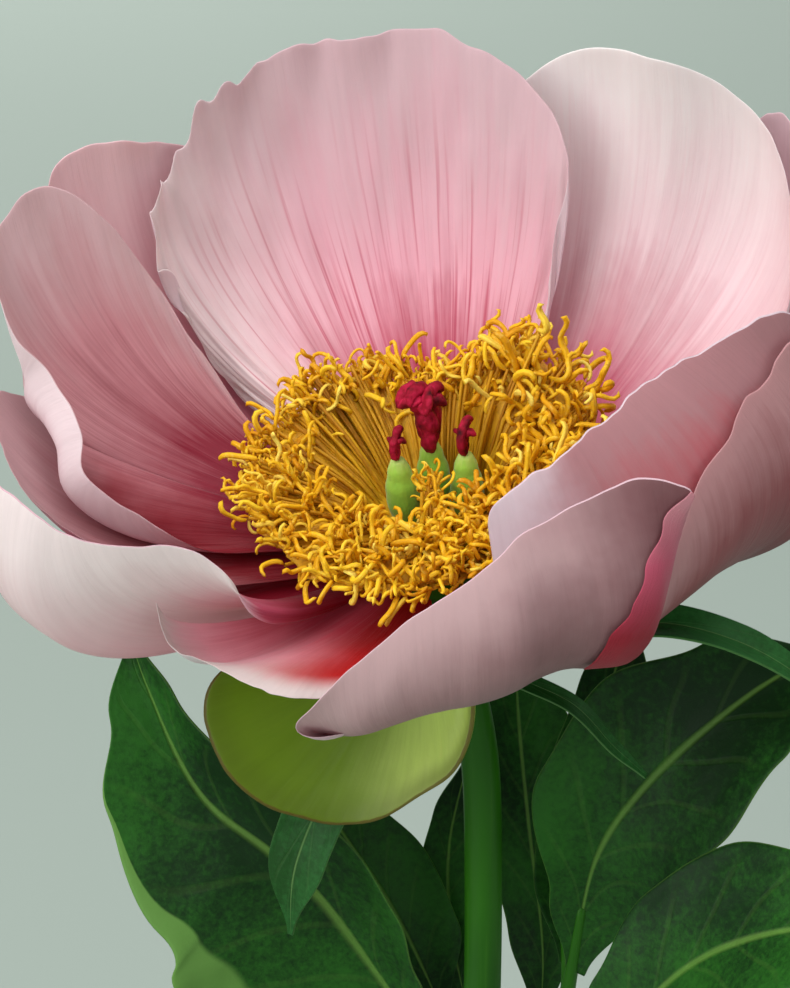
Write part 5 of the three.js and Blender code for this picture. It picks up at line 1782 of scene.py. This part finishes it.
class PEONY_OT_stem(PeonyOperator, bpy.types.Operator):
    """Builds the stem and the receptacle"""

    bl_idname = "peony.stem"
    bl_label = "Stem"

    def execute(self, context):
        make_stem(context.scene.peony_flower.stem_radius)
        return {"FINISHED"}


class PEONY_OT_stamens(PeonyOperator, bpy.types.Operator):
    """Builds the ring of golden stamens"""

    bl_idname = "peony.stamens"
    bl_label = "Stamens"

    def execute(self, context):
        flower = context.scene.peony_flower
        make_stamens(flower.anther_count, flower.anther_length, flower.anther_radius)
        return {"FINISHED"}


class PEONY_OT_carpels(PeonyOperator, bpy.types.Operator):
    """Builds the three carpels with their crimson crests"""

    bl_idname = "peony.carpels"
    bl_label = "Carpels"

    def execute(self, context):
        make_carpels()
        return {"FINISHED"}


class PEONY_OT_vase(PeonyOperator, bpy.types.Operator):
    """Builds the bud vase"""

    bl_idname = "peony.vase"
    bl_label = "Vase"

    def execute(self, context):
        make_vase(opaque(context.scene.peony_studio.glaze))
        return {"FINISHED"}


class PEONY_OT_water(PeonyOperator, bpy.types.Operator):
    """Builds the water in the vase"""

    bl_idname = "peony.water"
    bl_label = "Water"

    def execute(self, context):
        make_water()
        return {"FINISHED"}


class PEONY_OT_stage(PeonyOperator, bpy.types.Operator):
    """Builds the floor, the lights and the camera"""

    bl_idname = "peony.stage"
    bl_label = "Stage"

    def execute(self, context):
        studio = context.scene.peony_studio
        make_floor(opaque(studio.floor))
        make_lamps(studio.lamp_power, studio.lamp_colour)
        make_world(studio.sky_strength, studio.sky)
        make_camera()
        keep_true_colours()
        return {"FINISHED"}


OPERATORS = (
    PEONY_OT_stage,
    PEONY_OT_vase,
    PEONY_OT_water,
    PEONY_OT_stem,
    PEONY_OT_leaves,
    PEONY_OT_bracts,
    PEONY_OT_sepals,
    PEONY_OT_petals,
    PEONY_OT_stamens,
    PEONY_OT_carpels,
)


class PEONY_PT_panel(bpy.types.Panel):
    """Lists the pieces and their settings in the sidebar."""

    bl_idname = "PEONY_PT_panel"
    bl_label = "Peony in a bud vase"
    bl_space_type = "VIEW_3D"
    bl_region_type = "UI"
    bl_category = "Peony"

    def draw(self, context):
        layout = self.layout
        for group in (context.scene.peony_flower, context.scene.peony_studio):
            for name in group.bl_rna.properties.keys():
                if name not in ("rna_type", "name"):
                    layout.prop(group, name)
        for operator in OPERATORS:
            layout.operator(operator.bl_idname)


CLASSES = (PeonyFlowerSettings, PeonyStudioSettings, *OPERATORS, PEONY_PT_panel)


def register():
    for kind in CLASSES:
        bpy.utils.register_class(kind)
    bpy.types.Scene.peony_flower = bpy.props.PointerProperty(type=PeonyFlowerSettings)
    bpy.types.Scene.peony_studio = bpy.props.PointerProperty(type=PeonyStudioSettings)


def unregister():
    del bpy.types.Scene.peony_studio
    del bpy.types.Scene.peony_flower
    for kind in reversed(CLASSES):
        bpy.utils.unregister_class(kind)


def main():
    register()
    for operator in OPERATORS:
        group, name = operator.bl_idname.split(".")
        getattr(getattr(bpy.ops, group), name)()


if __name__ == "__main__":
    main()
